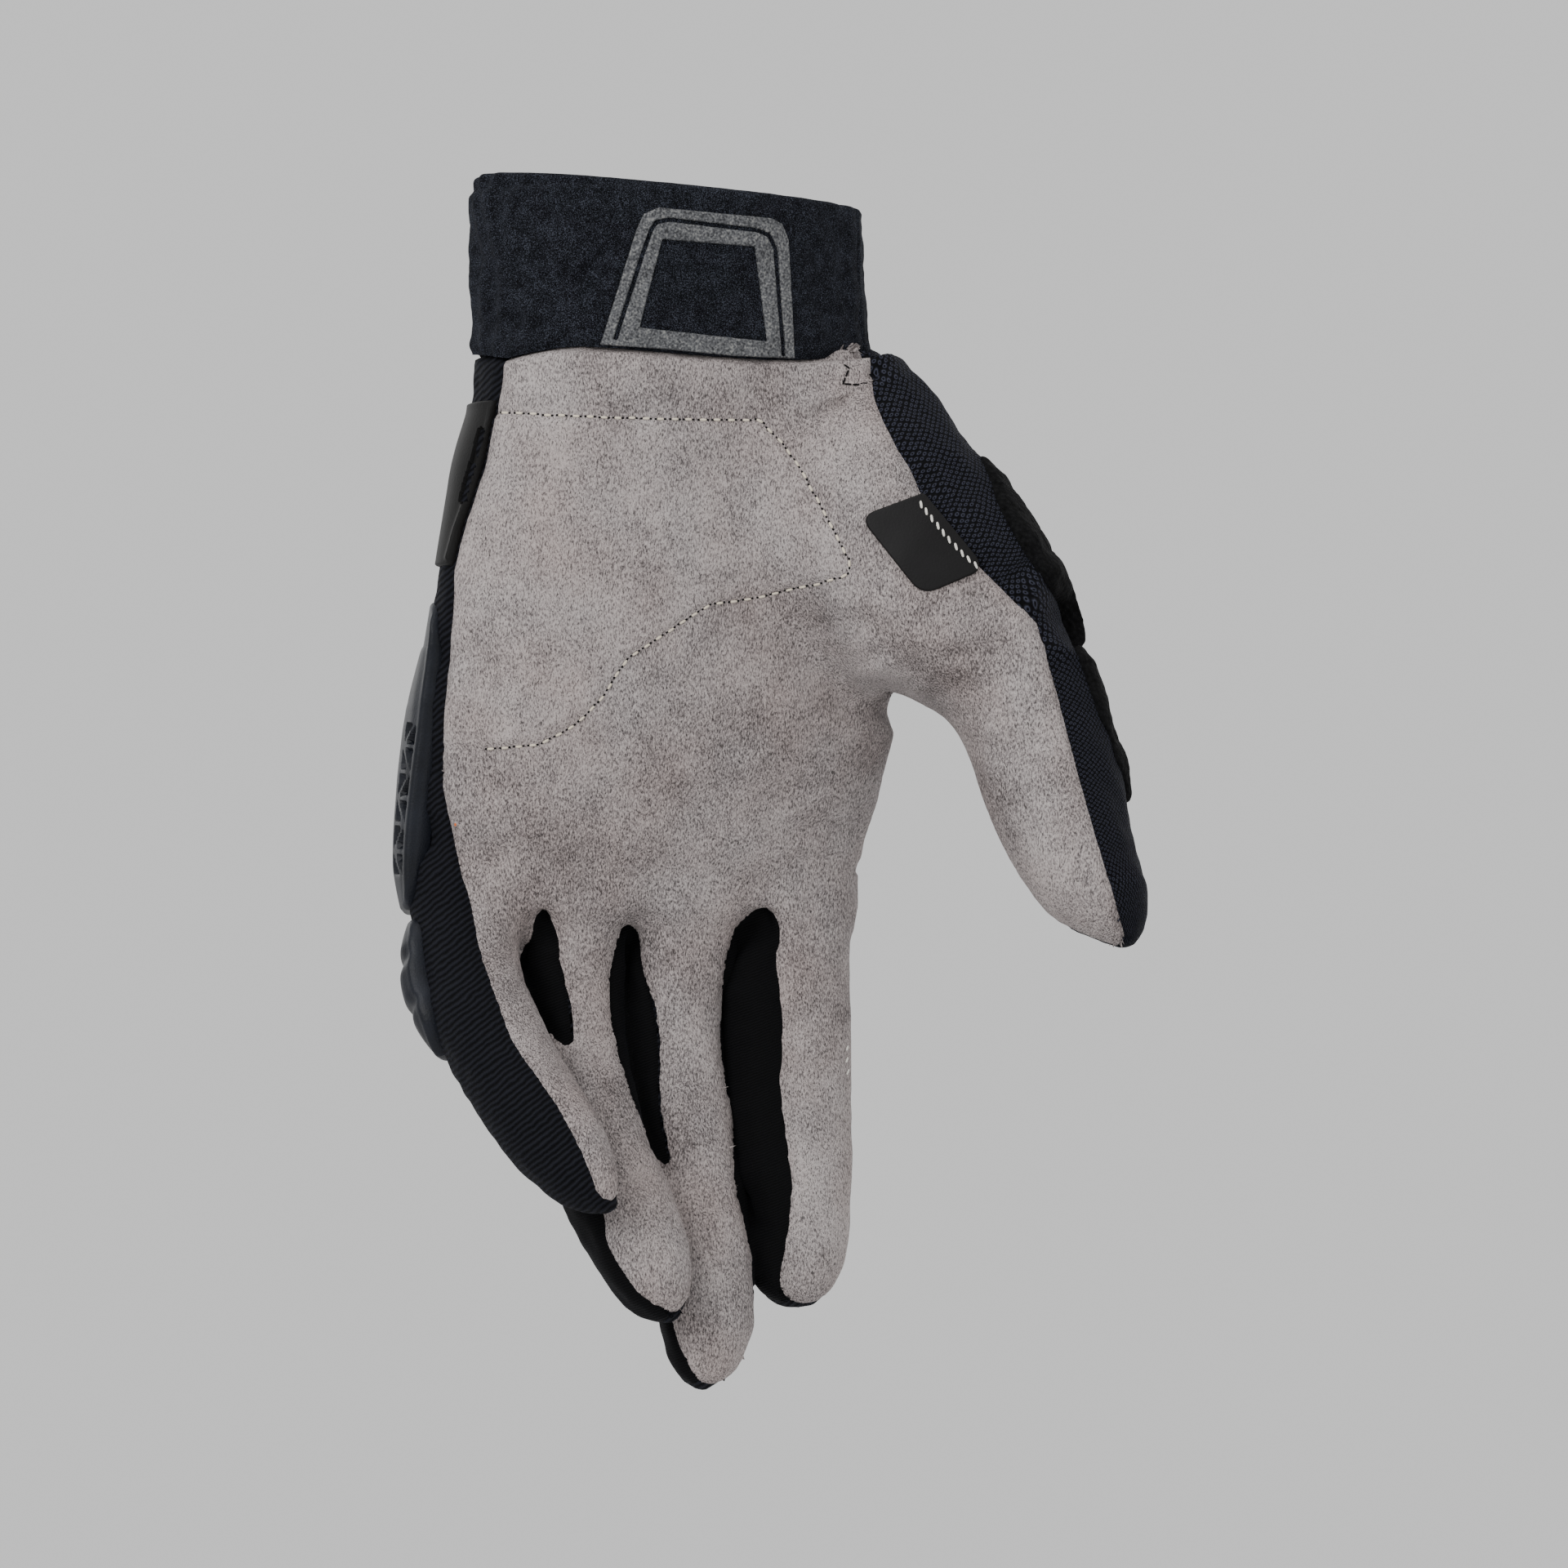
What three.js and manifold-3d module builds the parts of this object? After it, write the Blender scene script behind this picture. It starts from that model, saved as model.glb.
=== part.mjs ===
// A left-hand mountain bike glove, filled out as a relaxed hand fills it: fingers down, palm towards -Y.
// Millimetres, +Z up, +X towards the thumb. The origin is the middle of the wrist opening.
// The hand is six lofted tubes: one for the palm and one for each finger. Their union is the outer
// skin, the same tubes made thinner by the cloth are the hollow, and seam surfaces that follow each
// tube cut the skin into the panels that a glove maker sews together.
import * as THREE from "three";
import Module from "manifold-3d";

const wasm = await Module();
wasm.setup();

// Driving dimensions
const CUFF_HEIGHT = 32; // wrist opening to wrist seam
const CUFF_WIDTH = 75.4;
const CUFF_DEPTH = 46;
const CUFF_WALL = 2.2; // neoprene
const PALM_LENGTH = 107; // wrist seam to the webs between the fingers
const PALM_WIDTH = 91;
const PALM_DEPTH = 39;
const CLOTH = 1.5; // suede and knit with their seam allowance
const SEAM_GAP = 0.3; // clearance between neighbouring panels
const HAND_TURN = 16; // degrees that the hand turns its little finger towards the front

const INDEX_LENGTH = 72.4; // web to tip
const INDEX_WIDTH = 22;
const INDEX_DEPTH = 19.6;
const MIDDLE_LENGTH = 86.2;
const MIDDLE_WIDTH = 20.6;
const MIDDLE_DEPTH = 19.8;
const RING_LENGTH = 72.4;
const RING_WIDTH = 19.4;
const RING_DEPTH = 18.8;
const LITTLE_LENGTH = 50.8;
const LITTLE_WIDTH = 19;
const LITTLE_DEPTH = 18.4;
const THUMB_LENGTH = 102.5; // start of the ball of the thumb to its tip, measured straight down
const THUMB_WIDTH = 44.6;
const THUMB_DEPTH = 36;
const THUMB_START_ACROSS = 0.246; // start of the ball of the thumb, as shares of the palm
const THUMB_START_DOWN = 0.074;
const LITTLE_ROOT = -0.338; // the fingers' places on the knuckle line, as shares of the palm's width
const RING_ROOT = -0.138;
const MIDDLE_ROOT = 0.096;
const INDEX_ROOT = 0.34;

const PRINT_THICKNESS = 0.6; // grip print on the cuff
const PRINT_BAND = 2.7;
const PRINT_GROOVE = 0.7;
const PRINT_WINDOW = 6.2; // from the print's edge to its window
const PRINT_BAR = 3.2; // height of the bar below the window

const LABEL_THICKNESS = 0.7; // bare fabric label in the thumb seam
const WIPE_THICKNESS = 1.6; // towelling on the back of the thumb
const BADGE_THICKNESS = 0.9; // smooth rubber panel behind the wrist
const GUARD_THICKNESS = 4.4; // moulded rubber over the knuckles
const FINGER_GUARD_THICKNESS = 3.6;
const GUARD_RIB = 1.5; // rib left between two pockets of a guard
const GUARD_FLOOR = 1.6; // rubber left under a pocket
const GUARD_POCKET = 3.4; // height of a pocket
const GUARD_POCKETS = 5;
const GUARD_POCKET_START = 7.7; // from the knuckle line up to the lowest pocket
const POCKET_FRONT = 8.8; // from the hand's middle plane to the front corner of a pocket
const POCKET_WIDTH = 7;
const POCKET_INSET = 7; // how far a pocket could reach in from the side of the palm

const RIM_SLOPE = 0.062; // the cuff's rim falls towards the thumb
const BACK_SEAM = 42; // degrees from the side of a finger to the seam on its back
const GUSSET_TUCK = 5; // degrees that the strip between two fingers runs in under the suede
const SQUARENESS = 2.25; // power of the sections' superellipse: 2 is an ellipse
const SECTOR_STEPS = 12;
const HOLLOW_SIDES = 0.7; // sides of the hollow as a share of those of the skin
const POINTED = 0.05; // least half size of a ring
const OVER = 0.5; // how far a cutting solid stands off the skin
const THUMB_OVER = 0.9; // the same for the mesh panel, which wraps a little on to the back
const FAR_MM = 150; // beyond the glove
const WEB_REACH = 0.4; // how far the suede of the palm runs down between the fingers
const END_REACH = 6; // how far a cutting solid runs past a tube's ends
const GUARD_SPAN = [182, 318]; // degrees round the section that the knuckle guard covers
const GUARD_TOP = 0.44; // where the knuckle guard starts, as a share of the palm's length
const GUARD_FOOT = 3;
const LITTLE_GUARD_SPAN = [184, 236];
const LITTLE_GUARD_SHARE = 0.38; // how far down the little finger its guard reaches
const LITTLE_GUARD_RISE = 1; // how far it starts above the finger's root
const LITTLE_GUARD_EDGE = 0.35; // its thickness at both ends, as a share of its thickness in the middle
const BADGE_SPAN = [170, 262];
const BADGE_TOP = 8;
const BADGE_FOOT = 40;
const WIPE_BACK = 272; // degrees round the thumb where the wipe starts on the back
const WIPE_TOP = 0.059; // its ends, as shares of the thumb's length
const WIPE_BOTTOM = 0.742;
const CUFF_SIDES = 40;
const FINGER_SIDES = 10;
const THUMB_SIDES = 13;
const PALM_SIDES = 22;

// A station of a tube: its centre, its own axes (wide to the thumb side, front to the palm side), its
// half sizes and its seams. Angles round a section are degrees from the thumb side towards the palm
// side: the suede covers right to left, over the palm side.
function frameStations(rows) {
  const front = new THREE.Vector3();
  return rows.map((row, i) => {
    const before = rows[Math.max(0, i - 1)].centre;
    const after = rows[Math.min(rows.length - 1, i + 1)].centre;
    const along = after.clone().sub(before).normalize();
    const turn = THREE.MathUtils.degToRad(row.turn);
    front.set(Math.sin(turn), -Math.cos(turn), 0);
    front.addScaledVector(along, -front.dot(along)).normalize();
    const wide = front.clone().cross(along);
    return { ...row, along, front: front.clone(), wide };
  });
}

// The palm's rows. down is a share of the palm's length below the wrist seam, across of its width,
// wide and deep of its half width and half depth, offset the seam's place on the front.
const PALM_ROWS = [
  { down: -0.1, across: 0.016, wide: 0.84, deep: 1.16, right: -2, left: 158 },
  { down: 0.09, across: 0.02, wide: 0.87, deep: 1.11, right: -2, left: 158 },
  { down: 0.235, across: 0.012, wide: 0.935, deep: 1.06, right: -2, left: 160 },
  { down: 0.524, across: 0.003, wide: 1.012, deep: 0.95, right: -2, left: 165 },
  { down: 0.668, across: -0.021, wide: 0.988, deep: 0.88, right: -2, left: 165 },
  { down: 0.8, across: -0.05, wide: 0.96, deep: 0.76, right: -3, left: 160 },
  { down: 0.905, across: -0.064, wide: 0.952, deep: 0.64, right: -4, left: 150 },
  { down: 0.965, across: -0.065, wide: 0.95, deep: 0.55, right: -5, left: 140 },
  { down: 1.008, across: -0.065, wide: 0.86, deep: 0.22, right: -5, left: 134 },
];

// The rows of each finger. down, across and fore are shares of its length, from its web on the
// knuckle line; wide and deep are shares of its half width and half depth.
const INDEX_ROWS = [
  { down: -0.18, across: -0.03, fore: -0.012, wide: 0.98, deep: 1.0, right: -5, left: 118 },
  { down: 0, across: -0.02, fore: 0, wide: 1.04, deep: 1.04, right: -5, left: 112 },
  { down: 0.08, across: -0.02, fore: 0.007, wide: 1.04, deep: 1.02, right: -5, left: 109 },
  { down: 0.47, across: -0.008, fore: 0.06, wide: 0.98, deep: 0.98, right: -5, left: 109 },
  { down: 0.68, across: 0.002, fore: 0.107, wide: 0.92, deep: 0.94, right: -5, left: 109 },
  { down: 0.84, across: 0, fore: 0.16, wide: 0.86, deep: 0.87, right: -5, left: 109 },
  { down: 0.93, across: -0.006, fore: 0.194, wide: 0.71, deep: 0.7, right: -5, left: 112 },
  { down: 0.98, across: -0.01, fore: 0.215, wide: 0.45, deep: 0.44, right: -5, left: 116 },
  { down: 1, across: -0.012, fore: 0.223, wide: 0.16, deep: 0.16, right: -5, left: 116 },
];
const MIDDLE_ROWS = [
  { down: -0.15, across: 0.003, fore: -0.01, wide: 1.02, deep: 1.0, right: -5, left: 125 },
  { down: 0, across: 0, fore: 0, wide: 1.05, deep: 1.04, right: -5, left: 130 },
  { down: 0.065, across: -0.006, fore: 0.006, wide: 1.01, deep: 1.01, right: -5, left: 136 },
  { down: 0.219, across: -0.022, fore: 0.022, wide: 0.99, deep: 1.0, right: -5, left: 138 },
  { down: 0.481, across: 0.006, fore: 0.072, wide: 0.99, deep: 0.98, right: -5, left: 138 },
  { down: 0.76, across: 0.046, fore: 0.145, wide: 0.96, deep: 0.93, right: -5, left: 130 },
  { down: 0.866, across: 0.057, fore: 0.179, wide: 0.9, deep: 0.84, right: -5, left: 130 },
  { down: 0.944, across: 0.054, fore: 0.207, wide: 0.7, deep: 0.62, right: -5, left: 122 },
  { down: 0.984, across: 0.05, fore: 0.224, wide: 0.42, deep: 0.38, right: -5, left: 116 },
  { down: 1, across: 0.048, fore: 0.23, wide: 0.15, deep: 0.14, right: -5, left: 114 },
];
const RING_ROWS = [
  { down: -0.174, across: 0.004, fore: -0.012, wide: 1.05, deep: 1.02, right: -5, left: 122 },
  { down: 0, across: 0.006, fore: 0.004, wide: 1.06, deep: 1.05, right: -6, left: 116 },
  { down: 0.072, across: 0.004, fore: 0.016, wide: 1.02, deep: 1.02, right: -8, left: 111 },
  { down: 0.256, across: 0.01, fore: 0.055, wide: 1.0, deep: 1.0, right: -10, left: 110 },
  { down: 0.562, across: 0.08, fore: 0.182, wide: 1.01, deep: 0.97, right: -10, left: 110 },
  { down: 0.705, across: 0.138, fore: 0.242, wide: 1.0, deep: 0.95, right: -10, left: 110 },
  { down: 0.828, across: 0.194, fore: 0.288, wide: 0.94, deep: 0.9, right: -10, left: 110 },
  { down: 0.92, across: 0.238, fore: 0.321, wide: 0.76, deep: 0.72, right: -10, left: 110 },
  { down: 0.972, across: 0.266, fore: 0.341, wide: 0.47, deep: 0.46, right: -10, left: 104 },
  { down: 1, across: 0.28, fore: 0.353, wide: 0.16, deep: 0.16, right: -10, left: 98 },
];
const LITTLE_ROWS = [
  { down: -0.245, across: -0.01, fore: -0.03, wide: 1.02, deep: 1.04, right: -5, left: 136 },
  { down: 0, across: -0.012, fore: 0.04, wide: 1.02, deep: 1.06, right: -8, left: 130 },
  { down: 0.1, across: -0.01, fore: 0.1, wide: 1.0, deep: 1.03, right: -10, left: 118 },
  { down: 0.245, across: 0.022, fore: 0.19, wide: 1.0, deep: 1.02, right: -15, left: 110 },
  { down: 0.418, across: 0.102, fore: 0.3, wide: 1.0, deep: 1.0, right: -15, left: 107 },
  { down: 0.59, across: 0.206, fore: 0.41, wide: 1.0, deep: 0.98, right: -15, left: 106 },
  { down: 0.763, across: 0.33, fore: 0.495, wide: 0.93, deep: 0.92, right: -15, left: 106 },
  { down: 0.878, across: 0.42, fore: 0.558, wide: 0.79, deep: 0.76, right: -15, left: 104 },
  { down: 0.953, across: 0.49, fore: 0.598, wide: 0.53, deep: 0.5, right: -15, left: 100 },
  { down: 1, across: 0.535, fore: 0.622, wide: 0.17, deep: 0.17, right: -15, left: 96 },
];
// The thumb's rows start inside the palm, so that its first ones make the ball of the thumb. inner is
// where the mesh panel starts on the back, and wipe where the towelling ends on the side, in degrees.
const THUMB_ROWS = [
  { down: -0.04, across: -0.03, fore: -0.06, wide: 0.7, deep: 0.55, right: 60, left: 188, inner: 305, wipe: 8 },
  { down: 0, across: 0, fore: -0.045, wide: 1.0, deep: 0.52, right: 30, left: 188, inner: 302, wipe: 8 },
  { down: 0.09, across: 0.075, fore: 0.01, wide: 1.03, deep: 0.84, right: 54, left: 188, inner: 280, wipe: 12 },
  { down: 0.301, across: 0.241, fore: 0.063, wide: 0.985, deep: 1.03, right: 68, left: 188, inner: 205, wipe: 20 },
  { down: 0.414, across: 0.331, fore: 0.087, wide: 0.93, deep: 0.97, right: 64, left: 196, inner: 196, wipe: 24 },
  { down: 0.485, across: 0.415, fore: 0.106, wide: 0.73, deep: 0.84, right: 66, left: 196, inner: 196, wipe: 26 },
  { down: 0.56, across: 0.451, fore: 0.121, wide: 0.65, deep: 0.75, right: 68, left: 188, inner: 188, wipe: 28 },
  { down: 0.768, across: 0.513, fore: 0.169, wide: 0.555, deep: 0.65, right: 68, left: 188, inner: 188, wipe: 30 },
  { down: 0.858, across: 0.55, fore: 0.193, wide: 0.485, deep: 0.59, right: 70, left: 188, inner: 188, wipe: 30 },
  { down: 0.92, across: 0.588, fore: 0.213, wide: 0.375, deep: 0.49, right: 75, left: 188, inner: 188, wipe: 30 },
  { down: 0.971, across: 0.612, fore: 0.227, wide: 0.22, deep: 0.3, right: 75, left: 188, inner: 188, wipe: 30 },
  { down: 1, across: 0.622, fore: 0.237, wide: 0.08, deep: 0.1, right: 75, left: 188, inner: 188, wipe: 30 },
];

const KNUCKLE_Z = -CUFF_HEIGHT - PALM_LENGTH;
const TURN_SLOPE = Math.tan(THREE.MathUtils.degToRad(HAND_TURN));

// A finger's own rows in millimetres. root is its place on the knuckle line, from the palm's middle.
function fingerRows(rows, length, width, depth, root) {
  const middle = PALM_ROWS[PALM_ROWS.length - 1].across * PALM_WIDTH;
  const rootX = middle + root * PALM_WIDTH;
  const rootY = (rootX - middle) * TURN_SLOPE;
  return rows.map((row) => ({
    ...row,
    centre: new THREE.Vector3(
      rootX + row.across * length,
      rootY - row.fore * length,
      KNUCKLE_Z - row.down * length,
    ),
    halfWidth: (row.wide * width) / 2,
    halfDepth: (row.deep * depth) / 2,
    turn: HAND_TURN,
  }));
}

function palmRows() {
  return PALM_ROWS.map((row) => ({
    ...row,
    centre: new THREE.Vector3(row.across * PALM_WIDTH, 0, -CUFF_HEIGHT - row.down * PALM_LENGTH),
    halfWidth: (row.wide * PALM_WIDTH) / 2,
    halfDepth: (row.deep * PALM_DEPTH) / 2,
    turn: HAND_TURN,
  }));
}

// A height on the thumb, from the start of its ball, as a share of its length.
const thumbHeight = (down) => -CUFF_HEIGHT - THUMB_START_DOWN * PALM_LENGTH - down * THUMB_LENGTH;

function thumbRows() {
  return THUMB_ROWS.map((row) => ({
    ...row,
    centre: new THREE.Vector3(
      THUMB_START_ACROSS * PALM_WIDTH + row.across * THUMB_LENGTH,
      -row.fore * THUMB_LENGTH,
      thumbHeight(row.down),
    ),
    halfWidth: (row.wide * THUMB_WIDTH) / 2,
    halfDepth: (row.deep * THUMB_DEPTH) / 2,
    turn: 0,
  }));
}

// A point of a section: a superellipse, a little squarer than an ellipse.
function sectionOffset(station, degrees, grow) {
  const power = 2 / SQUARENESS;
  const c = Math.cos(THREE.MathUtils.degToRad(degrees));
  const s = Math.sin(THREE.MathUtils.degToRad(degrees));
  const w = Math.sign(c) * Math.abs(c) ** power * Math.max(POINTED, station.halfWidth + grow);
  const f = Math.sign(s) * Math.abs(s) ** power * Math.max(POINTED, station.halfDepth + grow);
  return station.wide.clone().multiplyScalar(w).addScaledVector(station.front, f);
}

const sectionPoint = (station, degrees, grow) =>
  sectionOffset(station, degrees, grow).add(station.centre);

// A closed solid through rings of points, counter-clockwise about the way they follow each other.
function loft(rings) {
  const sides = rings[0].length;
  const points = rings.flat();
  const faces = [];
  for (let i = 0; i < rings.length - 1; i++) {
    for (let j = 0; j < sides; j++) {
      const a = i * sides + j;
      const b = i * sides + ((j + 1) % sides);
      // The last strip is split the other way, so that two sectors with a common seam meet exactly.
      if (j < sides - 1) faces.push(a, b, b + sides, a, b + sides, a + sides);
      else faces.push(a, b, a + sides, b, b + sides, a + sides);
    }
  }
  const last = (rings.length - 1) * sides;
  const middle = (ring) => ring.reduce((sum, p) => sum.add(p), new THREE.Vector3()).divideScalar(sides);
  const start = points.push(middle(rings[0])) - 1;
  const end = points.push(middle(rings[rings.length - 1])) - 1;
  for (let j = 0; j < sides; j++) {
    const next = (j + 1) % sides;
    faces.push(start, next, j, end, last + j, last + next);
  }
  return solidFrom(points, faces);
}

function solidFrom(points, faces) {
  const vertProperties = new Float32Array(points.flatMap((p) => [p.x, p.y, p.z]));
  const mesh = new wasm.Mesh({ numProp: 3, vertProperties, triVerts: new Uint32Array(faces) });
  return new wasm.Manifold(mesh);
}

// growOf may be one size for the whole tube, or a function of the station.
function tubeSolid(tube, growOf, sides = tube.sides) {
  const count = tube.stations.length;
  const widest = tube.stations[Math.floor(count / 2)].halfDepth;
  const rings = tube.stations.map((station, i) => {
    const grow = typeof growOf === "function" ? growOf(station) : growOf;
    // Towards the tip the skin grows along the tube as well as across it.
    const closing = i > count / 2 ? Math.max(0, 1 - station.halfDepth / widest) : 0;
    const moved = { ...station };
    moved.centre = station.centre.clone().addScaledVector(station.along, closing * grow);
    return Array.from({ length: sides }, (_, j) =>
      sectionPoint(moved, (360 * (j + 0.5)) / sides, grow),
    );
  });
  return loft(rings);
}

// The sector of a tube between two angles, from its axis to OVER outside its skin. seams gives the
// angles at a station. grow moves both seams and the axis edge out by a clearance.
function sectorSolid(stations, seams, grow, reach = END_REACH, over = OVER) {
  const rings = stations.map((station) => {
    const [from, to] = seams(station);
    const steps = SECTOR_STEPS;
    const arc = Array.from({ length: steps + 1 }, (_, i) => {
      const degrees = from + ((to - from) * i) / steps;
      return sectionOffset(station, degrees, over + grow);
    });
    const across = (v) => station.along.clone().cross(v).setLength(grow);
    const half = THREE.MathUtils.degToRad((to - from) / 2);
    const bisector = sectionOffset(station, (from + to) / 2, over).normalize();
    const ring = [
      bisector.clone().multiplyScalar(-grow / Math.max(0.5, Math.sin(half))),
      arc[0].clone().sub(across(arc[0])),
      ...arc.slice(1, -1),
      arc[steps].clone().add(across(arc[steps])),
    ];
    return ring.map((p) => p.add(station.centre));
  });
  const moved = (ring, station, by) => ring.map((p) => p.clone().addScaledVector(station.along, by));
  const start = moved(rings[0], stations[0], -END_REACH);
  const end = moved(rings[rings.length - 1], stations[stations.length - 1], reach);
  return loft([start, ...rings, end]);
}

// A prism along Y from a closed outline of [x, z] points, between two depths.
function prism(outline, fromY, toY) {
  const ring = (y) => outline.map(([x, z]) => new THREE.Vector3(x, y, z));
  const solid = loft([ring(fromY), ring(toY)]);
  return solid.volume() > 0 ? solid : loft([ring(toY), ring(fromY)]);
}

function boxSolid(min, max) {
  return prism([[min[0], min[2]], [max[0], min[2]], [max[0], max[2]], [min[0], max[2]]], min[1], max[1]);
}

// The biggest body of a solid: a cut along a curved seam can leave crumbs.
function mainBody(solid) {
  const bodies = solid.decompose();
  return bodies.reduce((best, body) => (body.volume() > best.volume() ? body : best));
}

const makeTube = (name, rows, sides) => ({ name, sides, stations: frameStations(rows) });
const finger = (name, ...sizes) => makeTube(name, fingerRows(...sizes), FINGER_SIDES);
const palmTube = makeTube("palm", palmRows(), PALM_SIDES);
const thumbTube = makeTube("thumb", thumbRows(), THUMB_SIDES);
const littleTube = finger("little", LITTLE_ROWS, LITTLE_LENGTH, LITTLE_WIDTH, LITTLE_DEPTH, LITTLE_ROOT);
const ringTube = finger("ring", RING_ROWS, RING_LENGTH, RING_WIDTH, RING_DEPTH, RING_ROOT);
const middleTube = finger("middle", MIDDLE_ROWS, MIDDLE_LENGTH, MIDDLE_WIDTH, MIDDLE_DEPTH, MIDDLE_ROOT);
const indexTube = finger("index", INDEX_ROWS, INDEX_LENGTH, INDEX_WIDTH, INDEX_DEPTH, INDEX_ROOT);
const tubes = [palmTube, littleTube, ringTube, middleTube, indexTube, thumbTube];

const unionOf = (solids) => solids.reduce((whole, solid) => whole.add(solid));
const handSolid = (grow) => unionOf(tubes.map((tube) => tubeSolid(tube, grow)));
const hollowSolid = () =>
  unionOf(tubes.map((tube) => tubeSolid(tube, -CLOTH, Math.round(tube.sides * HOLLOW_SIDES))));

// What the suede panel covers: of each tube the part in front of its seams.
function frontSolid(grow) {
  const seams = (s) => [s.right, s.left];
  const palm = sectorSolid(palmTube.stations, seams, grow, WEB_REACH + grow);
  const others = tubes.slice(1).map((tube) => sectorSolid(tube.stations, seams, grow));
  return unionOf([palm, ...others]);
}

// What the mesh panel covers: the thumb from its inner edge on the back round to the suede.
function thumbRegion(grow) {
  const seams = (s) => [s.inner, 360 + s.right];
  return sectorSolid(thumbTube.stations, seams, grow, END_REACH, THUMB_OVER);
}

// What the strip between two neighbouring fingers covers: their sides that face each other, from the
// suede back to the seam on the back of the finger.
function gussetRegion(lower, upper, grow) {
  const thumbSide = (s) => [-BACK_SEAM, s.right + GUSSET_TUCK];
  const littleSide = (s) => [s.left - GUSSET_TUCK, 180 + BACK_SEAM];
  const ofLower = sectorSolid(lower.stations.slice(1), thumbSide, grow);
  return ofLower.add(sectorSolid(upper.stations.slice(1), littleSide, grow));
}

// The cuff's rows: down is a share of its height, wide and deep of its half sizes.
const CUFF_ROWS = [
  { down: 0, across: 0, wide: 0.965, deep: 0.95 },
  { down: 0.04, across: 0, wide: 0.995, deep: 0.99 },
  { down: 0.16, across: 0, wide: 1.0, deep: 1.0 },
  { down: 0.65, across: 0.008, wide: 1.004, deep: 0.99 },
  { down: 1, across: 0.02, wide: 1.03, deep: 0.965 },
];
// Ridges that run down the cuff: degrees round from the thumb side towards the palm, and height.
const CUFF_RIDGES = [
  { at: 146, high: 0.6, wide: 5 },
  { at: 160, high: 0.7, wide: 5 },
  { at: 174, high: 0.6, wide: 5 },
  { at: 188, high: 0.5, wide: 5 },
  { at: 17, high: 1.2, wide: 7 },
];

function cuffStations() {
  const rows = CUFF_ROWS.map((row) => ({
    ...row,
    centre: new THREE.Vector3(row.across * CUFF_WIDTH, 0, -row.down * CUFF_HEIGHT),
    halfWidth: (row.wide * CUFF_WIDTH) / 2,
    halfDepth: (row.deep * CUFF_DEPTH) / 2,
    turn: HAND_TURN,
  }));
  return frameStations(rows);
}

function cuffSolid(grow, ridges, reach = 0) {
  const ridgeAt = (degrees) =>
    CUFF_RIDGES.reduce((sum, r) => sum + r.high * Math.exp(-(((degrees - r.at) / r.wide) ** 2)), 0);
  const rings = cuffStations().map((station) =>
    Array.from({ length: CUFF_SIDES }, (_, j) => {
      const share = (j + 0.5) / CUFF_SIDES;
      const lift = ridges ? ridgeAt(360 * share) : 0;
      const point = sectionPoint(station, 360 * share, grow + lift);
      // The rim falls towards the thumb.
      point.z -= (1 - station.down) * RIM_SLOPE * point.x;
      return point;
    }),
  );
  const up = rings[0].map((p) => p.clone().setZ(p.z + reach));
  const down = rings[rings.length - 1].map((p) => p.clone().setZ(p.z - reach));
  return loft(reach > 0 ? [up, ...rings, down] : rings);
}

const below = (z) => boxSolid([-FAR_MM, -FAR_MM, -2 * FAR_MM], [FAR_MM, FAR_MM, z]);

function makeCuff() {
  const wall = cuffSolid(0, true).subtract(cuffSolid(-CUFF_WALL, false, END_REACH));
  return wall.subtract(below(-CUFF_HEIGHT + SEAM_GAP / 2));
}

// Corners made round: each is cut back by its own length and bent over in steps.
function roundedOutline(corners, steps = 3) {
  const outline = [];
  corners.forEach((corner, i) => {
    const here = new THREE.Vector2(corner.x, corner.z);
    const toward = (other) => new THREE.Vector2(other.x, other.z).sub(here).setLength(corner.cut).add(here);
    const from = toward(corners[(i + corners.length - 1) % corners.length]);
    const to = toward(corners[(i + 1) % corners.length]);
    for (let k = 0; k <= steps; k++) {
      const t = k / steps;
      const bend = (axis) => (1 - t) ** 2 * from[axis] + 2 * t * (1 - t) * here[axis] + t ** 2 * to[axis];
      outline.push([bend("x"), bend("y")]);
    }
  });
  return outline;
}

// The same four corners moved in from every side by a distance, and from the foot by another.
function insetCorners([footLeft, topLeft, topRight, footRight], by, foot) {
  const slope = (low, high) => (high.x - low.x) / (high.z - low.z);
  const left = slope(footLeft, topLeft);
  const right = slope(footRight, topRight);
  const cut = (corner) => Math.max(0.5, corner.cut - by);
  const at = (corner, side, way, rise) => ({
    x: corner.x + way * by + side * rise,
    z: corner.z + rise,
    cut: cut(corner),
  });
  return [at(footLeft, left, 1, foot), at(topLeft, left, 1, -by), at(topRight, right, -1, -by),
    at(footRight, right, -1, foot)];
}

// The print's corners, as shares of the cuff's width and height, with how far each is cut back.
const PRINT_CORNERS = [
  { across: -0.1565, down: 0.95, cut: 0.6 },
  { across: -0.0504, down: 0.144, cut: 4 },
  { across: 0.3024, down: 0.231, cut: 4 },
  { across: 0.3263, down: 0.969, cut: 0.6 },
];

const cornersOn = (rows, top, width, height) =>
  rows.map((row) => ({ x: row.across * width, z: top - row.down * height, cut: row.cut }));

function makeCuffPrint() {
  const plate = cuffSolid(SEAM_GAP + PRINT_THICKNESS, true).subtract(cuffSolid(SEAM_GAP, true));
  const corners = cornersOn(PRINT_CORNERS, 0, CUFF_WIDTH, CUFF_HEIGHT);
  const frame = (by, foot) => prism(roundedOutline(insetCorners(corners, by, foot)), -FAR_MM, 0);
  const groove = frame(PRINT_BAND, PRINT_BAND).subtract(frame(PRINT_BAND + PRINT_GROOVE, 0));
  return plate.intersect(frame(0, 0)).subtract(groove).subtract(frame(PRINT_WINDOW, PRINT_BAR));
}

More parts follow.
